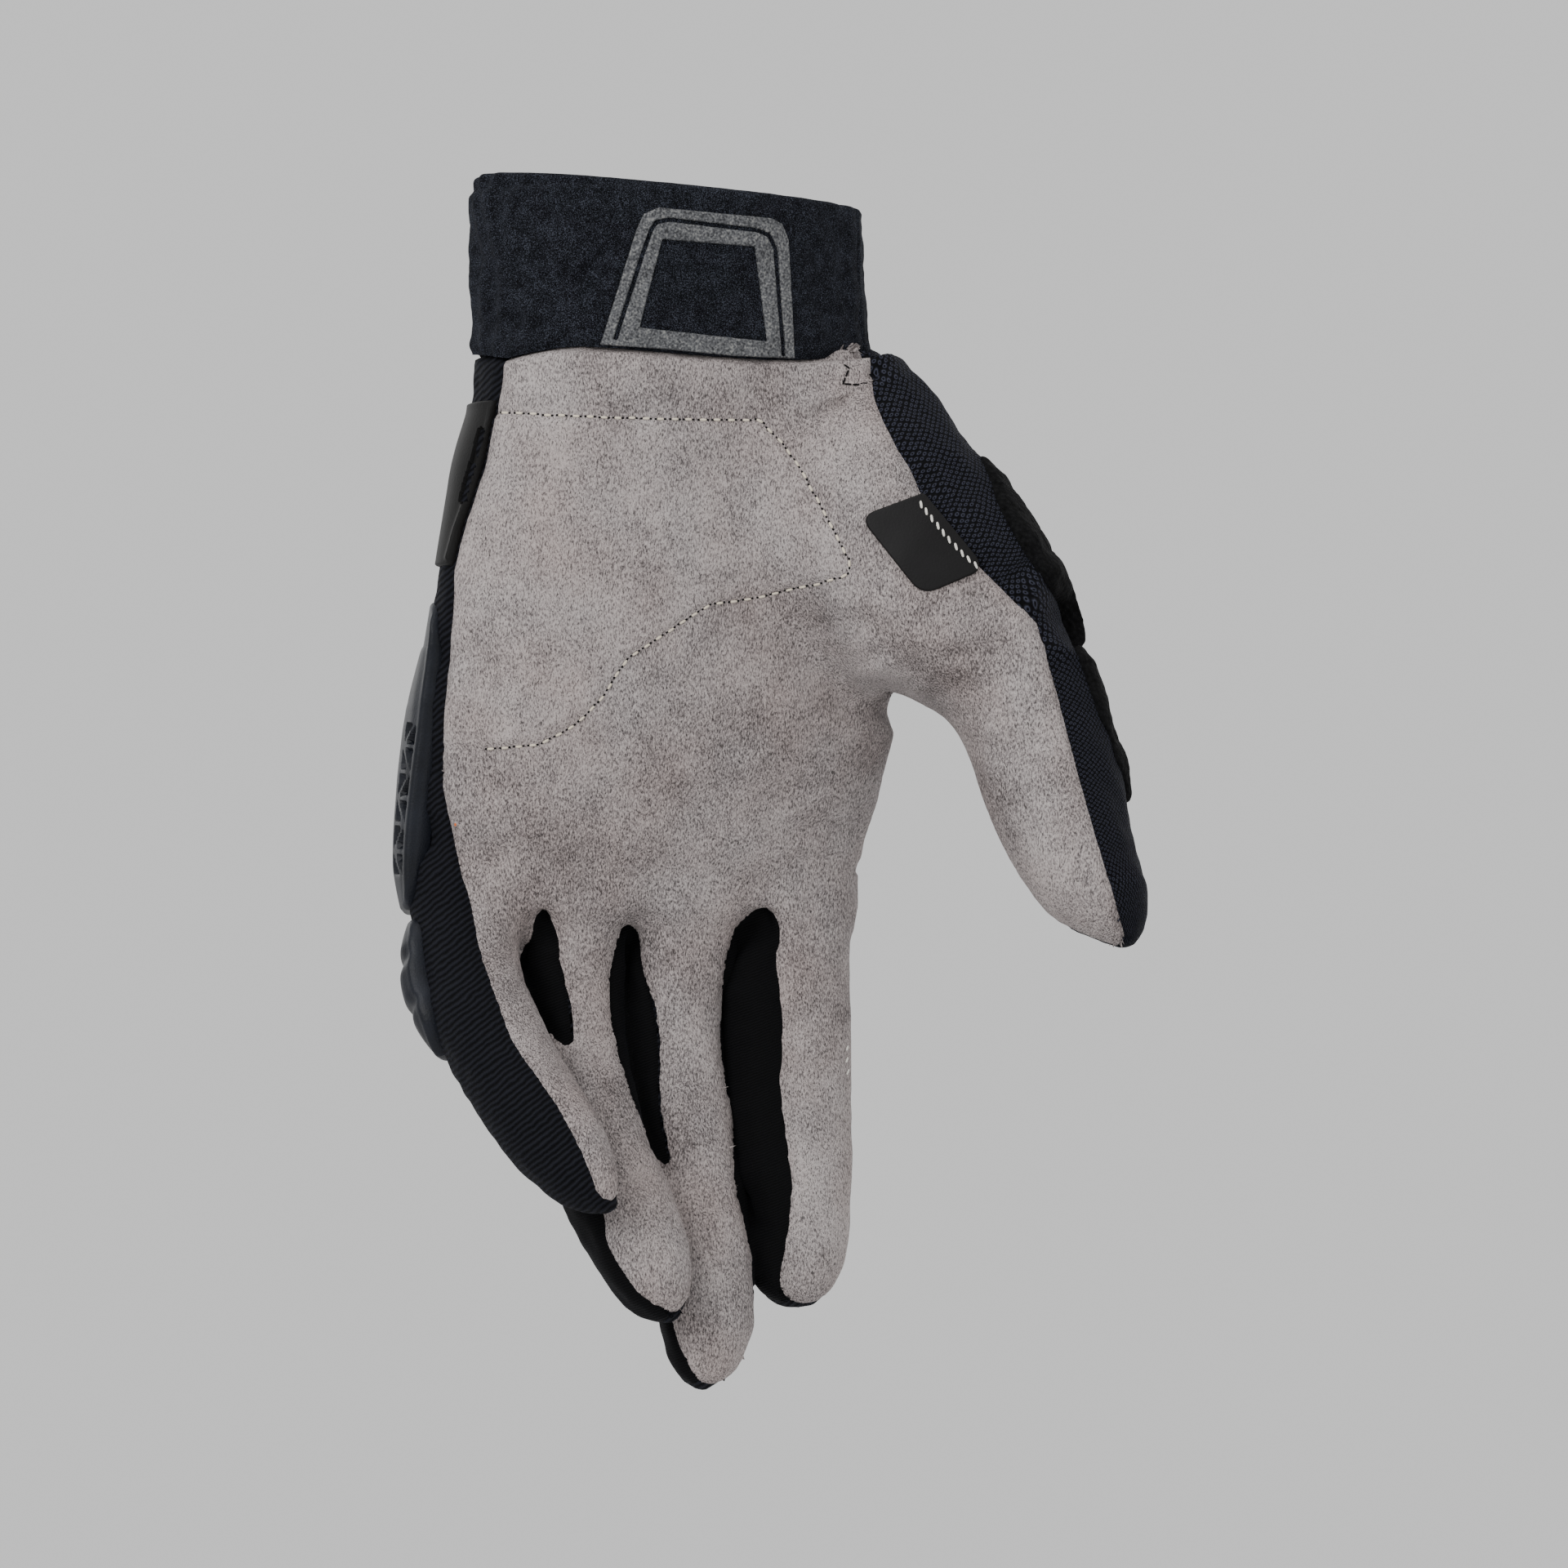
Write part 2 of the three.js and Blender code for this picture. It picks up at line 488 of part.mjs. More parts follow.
// The knuckle guard stands highest over the knuckles, by the shares in these rows of the palm.
const GUARD_ROWS = [
  { down: 0.4, high: 0.15 },
  { down: 0.5, high: 0.3 },
  { down: 0.6, high: 0.62 },
  { down: 0.7, high: 0.95 },
  { down: 0.8, high: 1 },
  { down: 0.9, high: 0.95 },
  { down: 0.97, high: 0.6 },
  { down: 1.02, high: 0.2 },
];

function shareAt(rows, column, down) {
  const next = rows.findIndex((row) => row.down > down);
  if (next < 0) return rows[rows.length - 1][column];
  if (next === 0) return rows[0][column];
  const [a, b] = [rows[next - 1], rows[next]];
  return a[column] + ((b[column] - a[column]) * (down - a.down)) / (b.down - a.down);
}

// A skin that lies on the outside of the glove, a gap above it, with its own thickness.
function skinOver(tube, thickness) {
  return tubeSolid(tube, thickness).subtract(handSolid(SEAM_GAP));
}

// A zone of a skin: between two angles, and between two heights.
function zone(tube, seams, bottom, top) {
  const sector = sectorSolid(tube.stations, seams, 0, END_REACH, 2 * GUARD_THICKNESS);
  return sector.intersect(boxSolid([-FAR_MM, -FAR_MM, bottom], [FAR_MM, FAR_MM, top]));
}

function makeKnuckleGuard() {
  const high = (station) => {
    const down = -(station.centre.z + CUFF_HEIGHT) / PALM_LENGTH;
    return SEAM_GAP + GUARD_THICKNESS * shareAt(GUARD_ROWS, "high", down);
  };
  const top = -CUFF_HEIGHT - GUARD_TOP * PALM_LENGTH;
  const guard = skinOver(palmTube, high);
  const area = zone(palmTube, () => GUARD_SPAN, KNUCKLE_Z + GUARD_FOOT, top);
  return guard.intersect(area).subtract(guardPockets());
}

// Triangular pockets down the outer edge of the knuckle guard, down to its floor.
function guardPockets() {
  const pitch = GUARD_POCKET + GUARD_RIB;
  const floor = tubeSolid(palmTube, SEAM_GAP + GUARD_FLOOR);
  const pocket = (i) => {
    const top = KNUCKLE_Z + GUARD_POCKET_START + i * pitch + GUARD_POCKET;
    const corners = [[-POCKET_FRONT, top], [POCKET_WIDTH - POCKET_FRONT, top],
      [-POCKET_FRONT, top - GUARD_POCKET]];
    const ring = (x) => corners.map(([y, z]) => new THREE.Vector3(x, y, z));
    return loft([ring(-FAR_MM), ring(POCKET_INSET - PALM_WIDTH / 2)]);
  };
  return unionOf(Array.from({ length: GUARD_POCKETS }, (_, i) => pocket(i))).subtract(floor);
}

function makeLittleGuard() {
  const first = littleTube.stations[1].centre.z;
  const last = first - LITTLE_LENGTH * LITTLE_GUARD_SHARE;
  const high = (station) => {
    const t = THREE.MathUtils.clamp((first - station.centre.z) / (first - last), 0, 1);
    const share = LITTLE_GUARD_EDGE + (1 - LITTLE_GUARD_EDGE) * Math.sin(Math.PI * t);
    return SEAM_GAP + FINGER_GUARD_THICKNESS * share;
  };
  const area = zone(littleTube, () => LITTLE_GUARD_SPAN, last, first + LITTLE_GUARD_RISE);
  return skinOver(littleTube, high).intersect(area);
}

function makeBadge() {
  const skin = skinOver(palmTube, SEAM_GAP + BADGE_THICKNESS);
  const bottom = -CUFF_HEIGHT - BADGE_FOOT;
  return skin.intersect(zone(palmTube, () => BADGE_SPAN, bottom, -CUFF_HEIGHT - BADGE_TOP));
}

function makeWipe() {
  const skin = skinOver(thumbTube, SEAM_GAP + WIPE_THICKNESS);
  const seams = (s) => [WIPE_BACK, 360 + s.wipe];
  return skin.intersect(zone(thumbTube, seams, thumbHeight(WIPE_BOTTOM), thumbHeight(WIPE_TOP)));
}

// The label's corners, as shares of the palm's width and length.
const LABEL_CORNERS = [
  { across: 0.4154, down: 0.2841, cut: 3 },
  { across: 0.5341, down: 0.2374, cut: 0.8 },
  { across: 0.6593, down: 0.3701, cut: 0.8 },
  { across: 0.5407, down: 0.4187, cut: 3 },
];

function makeLabel() {
  const skin = handSolid(SEAM_GAP + LABEL_THICKNESS).subtract(handSolid(SEAM_GAP));
  const corners = cornersOn(LABEL_CORNERS, -CUFF_HEIGHT, PALM_WIDTH, PALM_LENGTH);
  return skin.intersect(prism(roundedOutline(corners), -FAR_MM, 0));
}

function makeHand() {
  const wristEnd = below(-CUFF_HEIGHT - SEAM_GAP / 2);
  const skin = handSolid(0).subtract(hollowSolid());
  const palm = skin.intersect(frontSolid(0)).intersect(wristEnd);
  const rest = skin.subtract(frontSolid(SEAM_GAP));
  const thumb = rest.intersect(thumbRegion(0)).subtract(cuffSolid(SEAM_GAP, true, END_REACH));
  let back = rest.subtract(thumbRegion(SEAM_GAP)).intersect(wristEnd);
  const between = [
    ["gusset_little_ring", littleTube, ringTube],
    ["gusset_ring_middle", ringTube, middleTube],
    ["gusset_middle_index", middleTube, indexTube],
  ];
  const gussets = {};
  for (const [name, lower, upper] of between) {
    gussets[name] = back.intersect(gussetRegion(lower, upper, 0));
    back = back.subtract(gussetRegion(lower, upper, SEAM_GAP));
  }
  return { palm, back_hand: back, thumb_panel: thumb, ...gussets };
}

const COLOURS = {
  palm: 0x9f9998,
  back_hand: 0x17181c,
  thumb_panel: 0x26262b,
  gusset_little_ring: 0x131317,
  gusset_ring_middle: 0x131317,
  gusset_middle_index: 0x131317,
  cuff: 0x202126,
  cuff_print: 0x6b6c6e,
  knuckle_guard: 0x35383f,
  little_guard: 0x35383f,
  wrist_badge: 0x242323,
  thumb_wipe: 0x121212,
  grip_label: 0x292729,
};

function toMesh(name, solid) {
  const body = mainBody(solid);
  const { vertProperties, triVerts } = body.getMesh();
  const geometry = new THREE.BufferGeometry();
  geometry.setAttribute("position", new THREE.BufferAttribute(new Float32Array(vertProperties), 3));
  geometry.setIndex(new THREE.BufferAttribute(new Uint32Array(triVerts), 1));
  geometry.computeVertexNormals();
  const material = new THREE.MeshStandardMaterial({ color: COLOURS[name], roughness: 0.9 });
  material.name = name;
  const mesh = new THREE.Mesh(geometry, material);
  mesh.name = name;
  return mesh;
}

const solids = {
  ...makeHand(),
  cuff: makeCuff(),
  cuff_print: makeCuffPrint(),
  knuckle_guard: makeKnuckleGuard(),
  little_guard: makeLittleGuard(),
  wrist_badge: makeBadge(),
  thumb_wipe: makeWipe(),
  grip_label: makeLabel(),
};

const group = new THREE.Group();
group.name = "mountain_bike_glove";
for (const [name, solid] of Object.entries(solids)) group.add(toMesh(name, solid));

export default group;
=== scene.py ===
# %% [markdown]
# A mountain bike glove in Blender: a left hand, palm towards the camera, fingers down, filled out
# as a relaxed hand fills it. The real one is sewn from a few flat cuts: pale synthetic suede for
# the palm and finger pads, black knit for the back, a knitted mesh for the thumb, a neoprene cuff,
# and moulded rubber over the knuckles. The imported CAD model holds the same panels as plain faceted
# walls. This lesson makes the fine surface over them: one smooth hand is worked out first, and the
# panels are cut from it along their seams, so that neighbours always meet.

# %% The frame
from types import SimpleNamespace

import bpy
import numpy as np
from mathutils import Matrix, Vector
from mathutils.bvhtree import BVHTree


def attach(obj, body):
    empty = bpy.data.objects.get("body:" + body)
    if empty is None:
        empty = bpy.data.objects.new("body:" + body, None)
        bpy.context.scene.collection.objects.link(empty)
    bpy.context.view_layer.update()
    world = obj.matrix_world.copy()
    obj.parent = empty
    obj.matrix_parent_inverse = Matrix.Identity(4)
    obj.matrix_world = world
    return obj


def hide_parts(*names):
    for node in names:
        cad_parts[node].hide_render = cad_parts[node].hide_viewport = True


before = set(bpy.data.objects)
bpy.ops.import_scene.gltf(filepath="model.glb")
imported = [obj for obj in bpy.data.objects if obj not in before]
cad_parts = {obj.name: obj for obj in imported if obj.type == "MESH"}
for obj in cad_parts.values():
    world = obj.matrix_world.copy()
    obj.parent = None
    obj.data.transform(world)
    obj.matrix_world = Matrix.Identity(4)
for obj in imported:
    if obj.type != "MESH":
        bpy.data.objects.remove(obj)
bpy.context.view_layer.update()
MM = 0.001  # every length below is in millimetres, and meshes are made in metres
random = np.random.default_rng(7)
print("nodes", sorted(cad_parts))

# %% [markdown]
# The photograph was taken from straight in front, a little over a metre away, with a long lens.
# The camera stands there. Its lens follows from the width that the picture covers at the glove's
# middle.

# %% Camera
IMAGE_SIDE = 1920
CAMERA_DISTANCE = 1100
PIXEL = 0.1558  # millimetres in a pixel of the picture, on the plane through the origin
VIEW_CENTRE = np.array([22.4, 0, -112.2])
SENSOR = 36

camera_data = bpy.data.cameras.new("camera")
camera_data.sensor_width = SENSOR
camera_data.lens = SENSOR * CAMERA_DISTANCE / (PIXEL * IMAGE_SIDE)
camera_data.clip_start = 0.05
camera = bpy.data.objects.new("camera", camera_data)
CAMERA_PLACE = VIEW_CENTRE - np.array([0, CAMERA_DISTANCE, 0])
camera.location = Vector(CAMERA_PLACE * MM)
camera.rotation_euler = (np.pi / 2, 0, 0)
bpy.context.scene.collection.objects.link(camera)
bpy.context.scene.camera = camera
print("lens", round(camera_data.lens, 1), "mm")

# %% [markdown]
# The light is a studio's: a broad soft box in front above the left shoulder, a weaker one on the
# right, one overhead, two weak ones behind for the silhouette, and white surroundings. A soft box
# is an area light, and the bigger it is, the softer the shadow's edge. The dark cloth needs broad
# light, or it would lose its knit.

# %% Floor and lights
FLOOR_DROP, FLOOR_REACH = 0.62, 1.6  # in metres
SOFT_BOXES = [
    # place in metres, size, power in watts
    ((-0.8, -1.05, 0.55), 0.8, 15),
    ((0.95, -0.95, 0.05), 0.9, 3),
    ((0.0, -0.2, 1.0), 1.0, 5),
    ((-0.7, 0.9, 0.3), 0.8, 2),
    ((0.7, 1.0, -0.1), 0.8, 3),
]


def flat_material(name, colour, roughness):
    """A material of one plain colour, for the floor alone."""
    material = bpy.data.materials.new(name)
    material.use_nodes = True
    shader = material.node_tree.nodes["Principled BSDF"]
    shader.inputs["Base Color"].default_value = (*colour, 1)
    shader.inputs["Roughness"].default_value = roughness
    return material


floor_mesh = bpy.data.meshes.new("floor")
floor_corners = [(x * FLOOR_REACH, y * FLOOR_REACH, -FLOOR_DROP)
                 for x, y in ((-1, -1), (1, -1), (1, 1), (-1, 1))]
floor_mesh.from_pydata(floor_corners, [], [(0, 1, 2, 3)])
floor = bpy.data.objects.new("floor", floor_mesh)
floor_mesh.materials.append(flat_material("pale_floor", (0.82, 0.82, 0.82), 0.9))
bpy.context.scene.collection.objects.link(floor)

for number, (place, size, power) in enumerate(SOFT_BOXES):
    light_data = bpy.data.lights.new(f"soft_box_{number}", "AREA")
    light_data.shape = "SQUARE"
    light_data.size = size
    light_data.energy = power
    light = bpy.data.objects.new(f"soft_box_{number}", light_data)
    light.location = place
    aim = Vector(VIEW_CENTRE * MM) - Vector(place)
    light.rotation_euler = aim.to_track_quat("-Z", "Y").to_euler()
    bpy.context.scene.collection.objects.link(light)

world = bpy.data.worlds.new("studio")
world.use_nodes = True
world.node_tree.nodes["Background"].inputs["Color"].default_value = (1.0, 1.0, 1.0, 1)
world.node_tree.nodes["Background"].inputs["Strength"].default_value = 0.8
bpy.context.scene.world = world
print("soft boxes", len(SOFT_BOXES))

# %% [markdown]
# The hand inside the glove is six tubes: the palm, four fingers and the thumb. Each has a few
# sections, given as shares of the tube's own length, width and depth. A smooth curve through each
# column gives as many sections between them as a fine surface needs.

# %% Sizes and sections
CUFF_HEIGHT, CUFF_WIDTH, CUFF_DEPTH, CUFF_WALL = 32, 75.4, 46, 2.2
PALM_LENGTH, PALM_WIDTH, PALM_DEPTH = 107, 91, 39
HAND_TURN = 16  # degrees that the hand turns its little finger towards the camera
SQUARENESS = 2.25  # 2 is an ellipse, and more is squarer
KNUCKLE_Z = -CUFF_HEIGHT - PALM_LENGTH
KNUCKLE_CENTRE = -0.065  # the knuckle line's middle, as a share of the palm's width
THUMB_LENGTH, THUMB_WIDTH, THUMB_DEPTH = 102.5, 44.6, 36
THUMB_START = (0.246, 0.074)  # shares of the palm's width and length
STATIONS = 260

# right and left are where the suede ends, in degrees round a section from the thumb side towards
# the palm side.
PALM_ROWS = """down across fore wide deep right left
-0.10  0.016 0 0.840 1.16 -2 158
 0.09  0.020 0 0.870 1.11 -2 158
 0.235 0.012 0 0.935 1.06 -2 160
 0.524 0.003 0 1.012 0.95 -2 165
 0.668 -0.021 0 0.988 0.88 -2 165
 0.80 -0.050 0 0.960 0.76 -3 160
 0.905 -0.064 0 0.952 0.64 -4 150
 0.965 -0.065 0 0.950 0.55 -5 140
 1.008 -0.065 0 0.860 0.22 -5 134"""
LITTLE_ROWS = """down across fore wide deep right left
-0.245 -0.010 -0.030 1.02 1.04 -5 136
 0     -0.012 0.040 1.02 1.06 -8 130
 0.10  -0.010 0.100 1.00 1.03 -10 118
 0.245  0.022 0.190 1.00 1.02 -15 110
 0.418  0.102 0.300 1.00 1.00 -15 107
 0.59   0.206 0.410 1.00 0.98 -15 106
 0.763  0.330 0.495 0.93 0.92 -15 106
 0.878  0.420 0.558 0.79 0.76 -15 104
 0.953  0.490 0.598 0.53 0.50 -15 100
 1.00   0.535 0.622 0.17 0.17 -15 96"""
RING_ROWS = """down across fore wide deep right left
-0.174 0.004 -0.012 1.05 1.02 -5 122
 0     0.006 0.004 1.06 1.05 -6 116
 0.072 0.004 0.016 1.02 1.02 -8 111
 0.256 0.010 0.055 1.00 1.00 -10 110
 0.562 0.080 0.182 1.01 0.97 -10 110
 0.705 0.138 0.242 1.00 0.95 -10 110
 0.828 0.194 0.288 0.94 0.90 -10 110
 0.92  0.238 0.321 0.76 0.72 -10 110
 0.972 0.266 0.341 0.47 0.46 -10 104
 1.00  0.280 0.353 0.16 0.16 -10 98"""
MIDDLE_ROWS = """down across fore wide deep right left
-0.15  0.003 -0.010 1.02 1.00 -5 125
 0     0.000 0.000 1.05 1.04 -5 130
 0.065 -0.006 0.006 1.01 1.01 -5 136
 0.219 -0.022 0.022 0.99 1.00 -5 138
 0.481 0.006 0.072 0.99 0.98 -5 138
 0.76  0.046 0.145 0.96 0.93 -5 130
 0.866 0.057 0.179 0.90 0.84 -5 130
 0.944 0.054 0.207 0.70 0.62 -5 122
 0.984 0.050 0.224 0.42 0.38 -5 116
 1.00  0.048 0.230 0.15 0.14 -5 114"""
INDEX_ROWS = """down across fore wide deep right left
-0.18 -0.030 -0.012 0.98 1.00 -5 118
 0    -0.020 0.000 1.04 1.04 -5 112
 0.08 -0.020 0.007 1.04 1.02 -5 109
 0.47 -0.008 0.060 0.98 0.98 -5 109
 0.68  0.002 0.107 0.92 0.94 -5 109
 0.84  0.000 0.160 0.86 0.87 -5 109
 0.93 -0.006 0.194 0.71 0.70 -5 112
 0.98 -0.010 0.215 0.45 0.44 -5 116
 1.00 -0.012 0.223 0.16 0.16 -5 116"""
# inner is where the mesh starts on the back of the thumb, and wipe where the towelling ends.
THUMB_ROWS = """down across fore wide deep right left inner wipe
-0.04 -0.030 -0.060 0.70 0.55 60 188 305 8
 0     0.000 -0.045 1.00 0.52 30 188 302 8
 0.09  0.075 0.010 1.03 0.84 54 188 280 12
 0.301 0.241 0.063 0.985 1.03 68 188 205 20
 0.414 0.331 0.087 0.93 0.97 64 196 196 24
 0.485 0.415 0.106 0.73 0.84 66 196 196 26
 0.56  0.451 0.121 0.65 0.75 68 188 188 28
 0.768 0.513 0.169 0.555 0.65 68 188 188 30
 0.858 0.550 0.193 0.485 0.59 70 188 188 30
 0.92  0.588 0.213 0.375 0.49 75 188 188 30
 0.971 0.612 0.227 0.22 0.30 75 188 188 30
 1.00  0.622 0.237 0.08 0.10 75 188 188 30"""
CUFF_ROWS = """down across fore wide deep
0    0     0 0.965 0.95
0.04 0     0 0.995 0.99
0.16 0     0 1.000 1.00
0.65 0.008 0 1.004 0.99
1    0.020 0 1.030 0.965"""


def smooth_curve(knots, values, at):
    """Cubic pieces through values at knots. Neighbouring pieces share a slope, the harmonic mean of
    the rises on both sides, or none where the curve turns, so it never swings past a value."""
    step = np.diff(knots)
    rise = np.diff(values) / step
    product = rise[:-1] * rise[1:]
    both = np.where(product > 0, rise[:-1] + rise[1:], 1)
    slope = np.concatenate([rise[:1], np.where(product > 0, 2 * product / both, 0), rise[-1:]])
    i = np.clip(np.searchsorted(knots, at) - 1, 0, len(step) - 1)
    t = (at - knots[i]) / step[i]
    low = (1 + 2 * t) * (1 - t) ** 2 * values[i] + t * (1 - t) ** 2 * step[i] * slope[i]
    return low + t**2 * (3 - 2 * t) * values[i + 1] + t**2 * (t - 1) * step[i] * slope[i + 1]


def make_tube(name, rows, length, width, depth, start, turn, across=None):
    """A tube of STATIONS sections. Its centre is start plus the shares across, fore and down of
    the tube's length, along X, -Y and -Z. along is the way that it runs, front the way that its
    palm side faces, and wide the way to its thumb side."""
    head, *lines = rows.splitlines()
    table = np.array([line.split() for line in lines], float)
    knots = table[:, 0]
    down = np.linspace(knots[0], knots[-1], STATIONS)
    tube = SimpleNamespace(name=name, length=length, down=down)
    for column, values in zip(head.split()[1:], table.T[1:]):
        setattr(tube, column, smooth_curve(knots, values, down))
    offset = np.stack([tube.across * (across or length), -tube.fore * length, -down * length], 1)
    tube.centre = np.array(start, float) + offset
    step = np.gradient(tube.centre, axis=0)
    tube.spacing = np.linalg.norm(step, axis=1)
    tube.along = step / tube.spacing[:, None]
    facing = np.array([np.sin(np.radians(turn)), -np.cos(np.radians(turn)), 0])
    front = facing - tube.along * (tube.along @ facing)[:, None]
    tube.front = front / np.linalg.norm(front, axis=1)[:, None]
    tube.sideways = np.cross(tube.front, tube.along)
    tube.half_width = tube.wide * width / 2
    tube.half_depth = tube.deep * depth / 2
    return tube


def finger(name, rows, length, width, depth, root):
    """A finger's tube, hung from its place on the knuckle line, which is turned with the hand."""
    centre = KNUCKLE_CENTRE * PALM_WIDTH
    x = centre + root * PALM_WIDTH
    y = (x - centre) * np.tan(np.radians(HAND_TURN))
    return make_tube(name, rows, length, width, depth, (x, y, KNUCKLE_Z), HAND_TURN)


wrist = (0, 0, -CUFF_HEIGHT)
palm = make_tube("palm", PALM_ROWS, PALM_LENGTH, PALM_WIDTH, PALM_DEPTH, wrist, HAND_TURN,
                 across=PALM_WIDTH)
# length, width and depth, and the place on the knuckle line as a share of the palm's width
little = finger("little", LITTLE_ROWS, 50.8, 19, 18.4, -0.338)
ring = finger("ring", RING_ROWS, 72.4, 19.4, 18.8, -0.138)
middle = finger("middle", MIDDLE_ROWS, 86.2, 20.6, 19.8, 0.096)
index = finger("index", INDEX_ROWS, 72.4, 22, 19.6, 0.34)
thumb_start = (THUMB_START[0] * PALM_WIDTH, 0, -CUFF_HEIGHT - THUMB_START[1] * PALM_LENGTH)
thumb = make_tube("thumb", THUMB_ROWS, THUMB_LENGTH, THUMB_WIDTH, THUMB_DEPTH, thumb_start, 0)
cuff = make_tube("cuff", CUFF_ROWS, CUFF_HEIGHT, CUFF_WIDTH, CUFF_DEPTH, (0, 0, 0), HAND_TURN,
                 across=CUFF_WIDTH)
fingers = [little, ring, middle, index]
tubes = [palm, *fingers, thumb]
print("tubes", [(t.name, round(float(t.spacing.sum()), 1)) for t in tubes])

# %% [markdown]
# Two questions are asked of a tube again and again: where is the point of its skin at a station
# and an angle, and, the other way round, where on the tube does a given point lie. The section is
# a superellipse, which is an ellipse whose cosine and sine are raised to a power a little under
# one.

# %% Points on a tube and places of points


def at_station(values, t):
    """values between two stations, where t is a station's number with a fraction."""
    low = np.clip(np.floor(t).astype(int), 0, len(values) - 2)
    share = (t - low).reshape(-1, *[1] * (values.ndim - 1))
    return values[low] * (1 - share) + values[low + 1] * share


def skin_point(tube, t, degrees, grow=0.0):
    """The superellipse's point at an angle: its half width times the cosine's power towards the
    thumb side, plus its half depth times the sine's power towards the palm side."""
    t = np.asarray(t, float)
    c, s = np.cos(np.radians(degrees)), np.sin(np.radians(degrees))
    power = 2 / SQUARENESS
    w = np.sign(c) * np.abs(c) ** power * (at_station(tube.half_width, t) + grow)
    f = np.sign(s) * np.abs(s) ** power * (at_station(tube.half_depth, t) + grow)
    centre, wide, front = (at_station(v, t) for v in (tube.centre, tube.sideways, tube.front))
    return centre + wide * w[:, None] + front * f[:, None]


def place_on(tube, points):
    """Where points lie on a tube: the station's number, the angle in degrees from 0 to 360, and
    the distance outside its skin. The distance is how much the section would have to swell to
    reach the point, divided by how fast that changes along the skin's slope, or the way past the
    tube's end."""
    t = np.interp(-points[:, 2], -tube.centre[:, 2], np.arange(STATIONS))
    for _ in range(3):
        gap = points - at_station(tube.centre, t)
        ahead = np.einsum("ij,ij->i", gap, at_station(tube.along, t))
        t = np.clip(t + ahead / at_station(tube.spacing, t), 0, STATIONS - 1)
    gap = points - at_station(tube.centre, t)
    past = np.einsum("ij,ij->i", gap, at_station(tube.along, t))
    w = np.einsum("ij,ij->i", gap, at_station(tube.sideways, t))
    f = np.einsum("ij,ij->i", gap, at_station(tube.front, t))
    half_width, half_depth = at_station(tube.half_width, t), at_station(tube.half_depth, t)
    a, b = np.abs(w) / half_width, np.abs(f) / half_depth
    level = np.maximum((a**SQUARENESS + b**SQUARENESS) ** (1 / SQUARENESS), 1e-3)
    narrowing = at_station(tube.flare, t)
    pull = level ** (1 - SQUARENESS)
    slope_w = pull * a ** (SQUARENESS - 1) / half_width
    slope_f = pull * b ** (SQUARENESS - 1) / half_depth
    shares = (a / level) ** SQUARENESS, (b / level) ** SQUARENESS
    slope_t = shares[0] * narrowing[:, 0] / half_width + shares[1] * narrowing[:, 1] / half_depth
    distance = (level - 1) / np.maximum(np.sqrt(slope_w**2 + slope_f**2 + slope_t**2), 1e-3)
    ahead = np.minimum(t, STATIONS - 1 - t) * at_station(tube.spacing, t)
    beyond = np.where(np.abs(past) > 0.3, np.abs(past), -ahead)
    outside = np.hypot(np.maximum(distance, 0), np.maximum(beyond, 0))
    distance = np.where(np.maximum(distance, beyond) > 0, outside, np.maximum(distance, beyond))
    c = np.sign(w) * a ** (SQUARENESS / 2)
    s = np.sign(f) * b ** (SQUARENESS / 2)
    return t, np.degrees(np.arctan2(s, c)) % 360, distance


for each in [*tubes, cuff]:
    sizes = np.stack([each.half_width, each.half_depth], 1)
    each.flare = np.gradient(sizes, axis=0) / each.spacing[:, None]
print("tip of the index finger", skin_point(index, [STATIONS - 1], 90)[0].round(1))

# %% [markdown]
# A hand isn't six tubes pushed together: the ball of the thumb runs into the palm, and there is
# skin between the fingers. Taking the least of the six distances gives the tubes joined with
# creases. A smooth least, which rounds the crossing off within a width, gives a hand. Two fingers
# that only touch must stay two, so their width is small, though not less than a few quads of the
# mesh.

# %% The whole hand as one distance
THUMB_BLEND, FINGER_BLEND, TOUCH_BLEND = 9, 4, 2.2


def smooth_least(a, b, width):
    """The lesser of a and b, less a parabola's hump where they differ by under width."""
    share = np.clip(0.5 + 0.5 * (b - a) / width, 0, 1)
    return b * (1 - share) + a * share - width * share * (1 - share)


def hand_distance(points):
    """How far points are outside the smooth hand."""
    distance = smooth_least(place_on(palm, points)[2], place_on(thumb, points)[2], THUMB_BLEND)
    between = place_on(little, points)[2]
    for tube in fingers[1:]:
        between = smooth_least(between, place_on(tube, points)[2], TOUCH_BLEND)
    return smooth_least(distance, between, FINGER_BLEND)


# %% [markdown]
# The first mesh comes from the tubes themselves. Each is a grid wrapped round, closed by a fan at
# both ends, and Blender's voxel remesh fuses the six into one skin of even quads. Its steps are
# then ironed out: every corner moves along its normal until the smooth distance is nothing.

# %% One skin from six tubes
SKIN_STEP = 0.92  # size of the skin's quads
RING_SIDES = 64
RINGS = 110


def wrapped_grid(rows, sides, first=0):
    """Quads of a grid that closes on itself sideways, with a fan at each end. rows rings of sides
    corners are followed by the two middles of the ends."""
    i, j = np.meshgrid(np.arange(rows - 1), np.arange(sides), indexing="ij")
    a, b = i * sides + j, i * sides + (j + 1) % sides
    quads = np.stack([a, b, b + sides, a + sides], -1).reshape(-1, 4)
    j = np.arange(sides)
    after = (j + 1) % sides
    last = (rows - 1) * sides
    start, end = rows * sides, rows * sides + 1
    fans = [np.stack([np.full(sides, start), after, j], 1),
            np.stack([np.full(sides, end), last + j, last + after], 1)]
    return quads + first, np.concatenate(fans) + first


def mesh_of(name, points, *faces):
    """A mesh in metres from points in millimetres and arrays of faces."""
    mesh = bpy.data.meshes.new(name)
    mesh.from_pydata((points * MM).tolist(), [], [f for block in faces for f in block.tolist()])
    mesh.update()
    return mesh


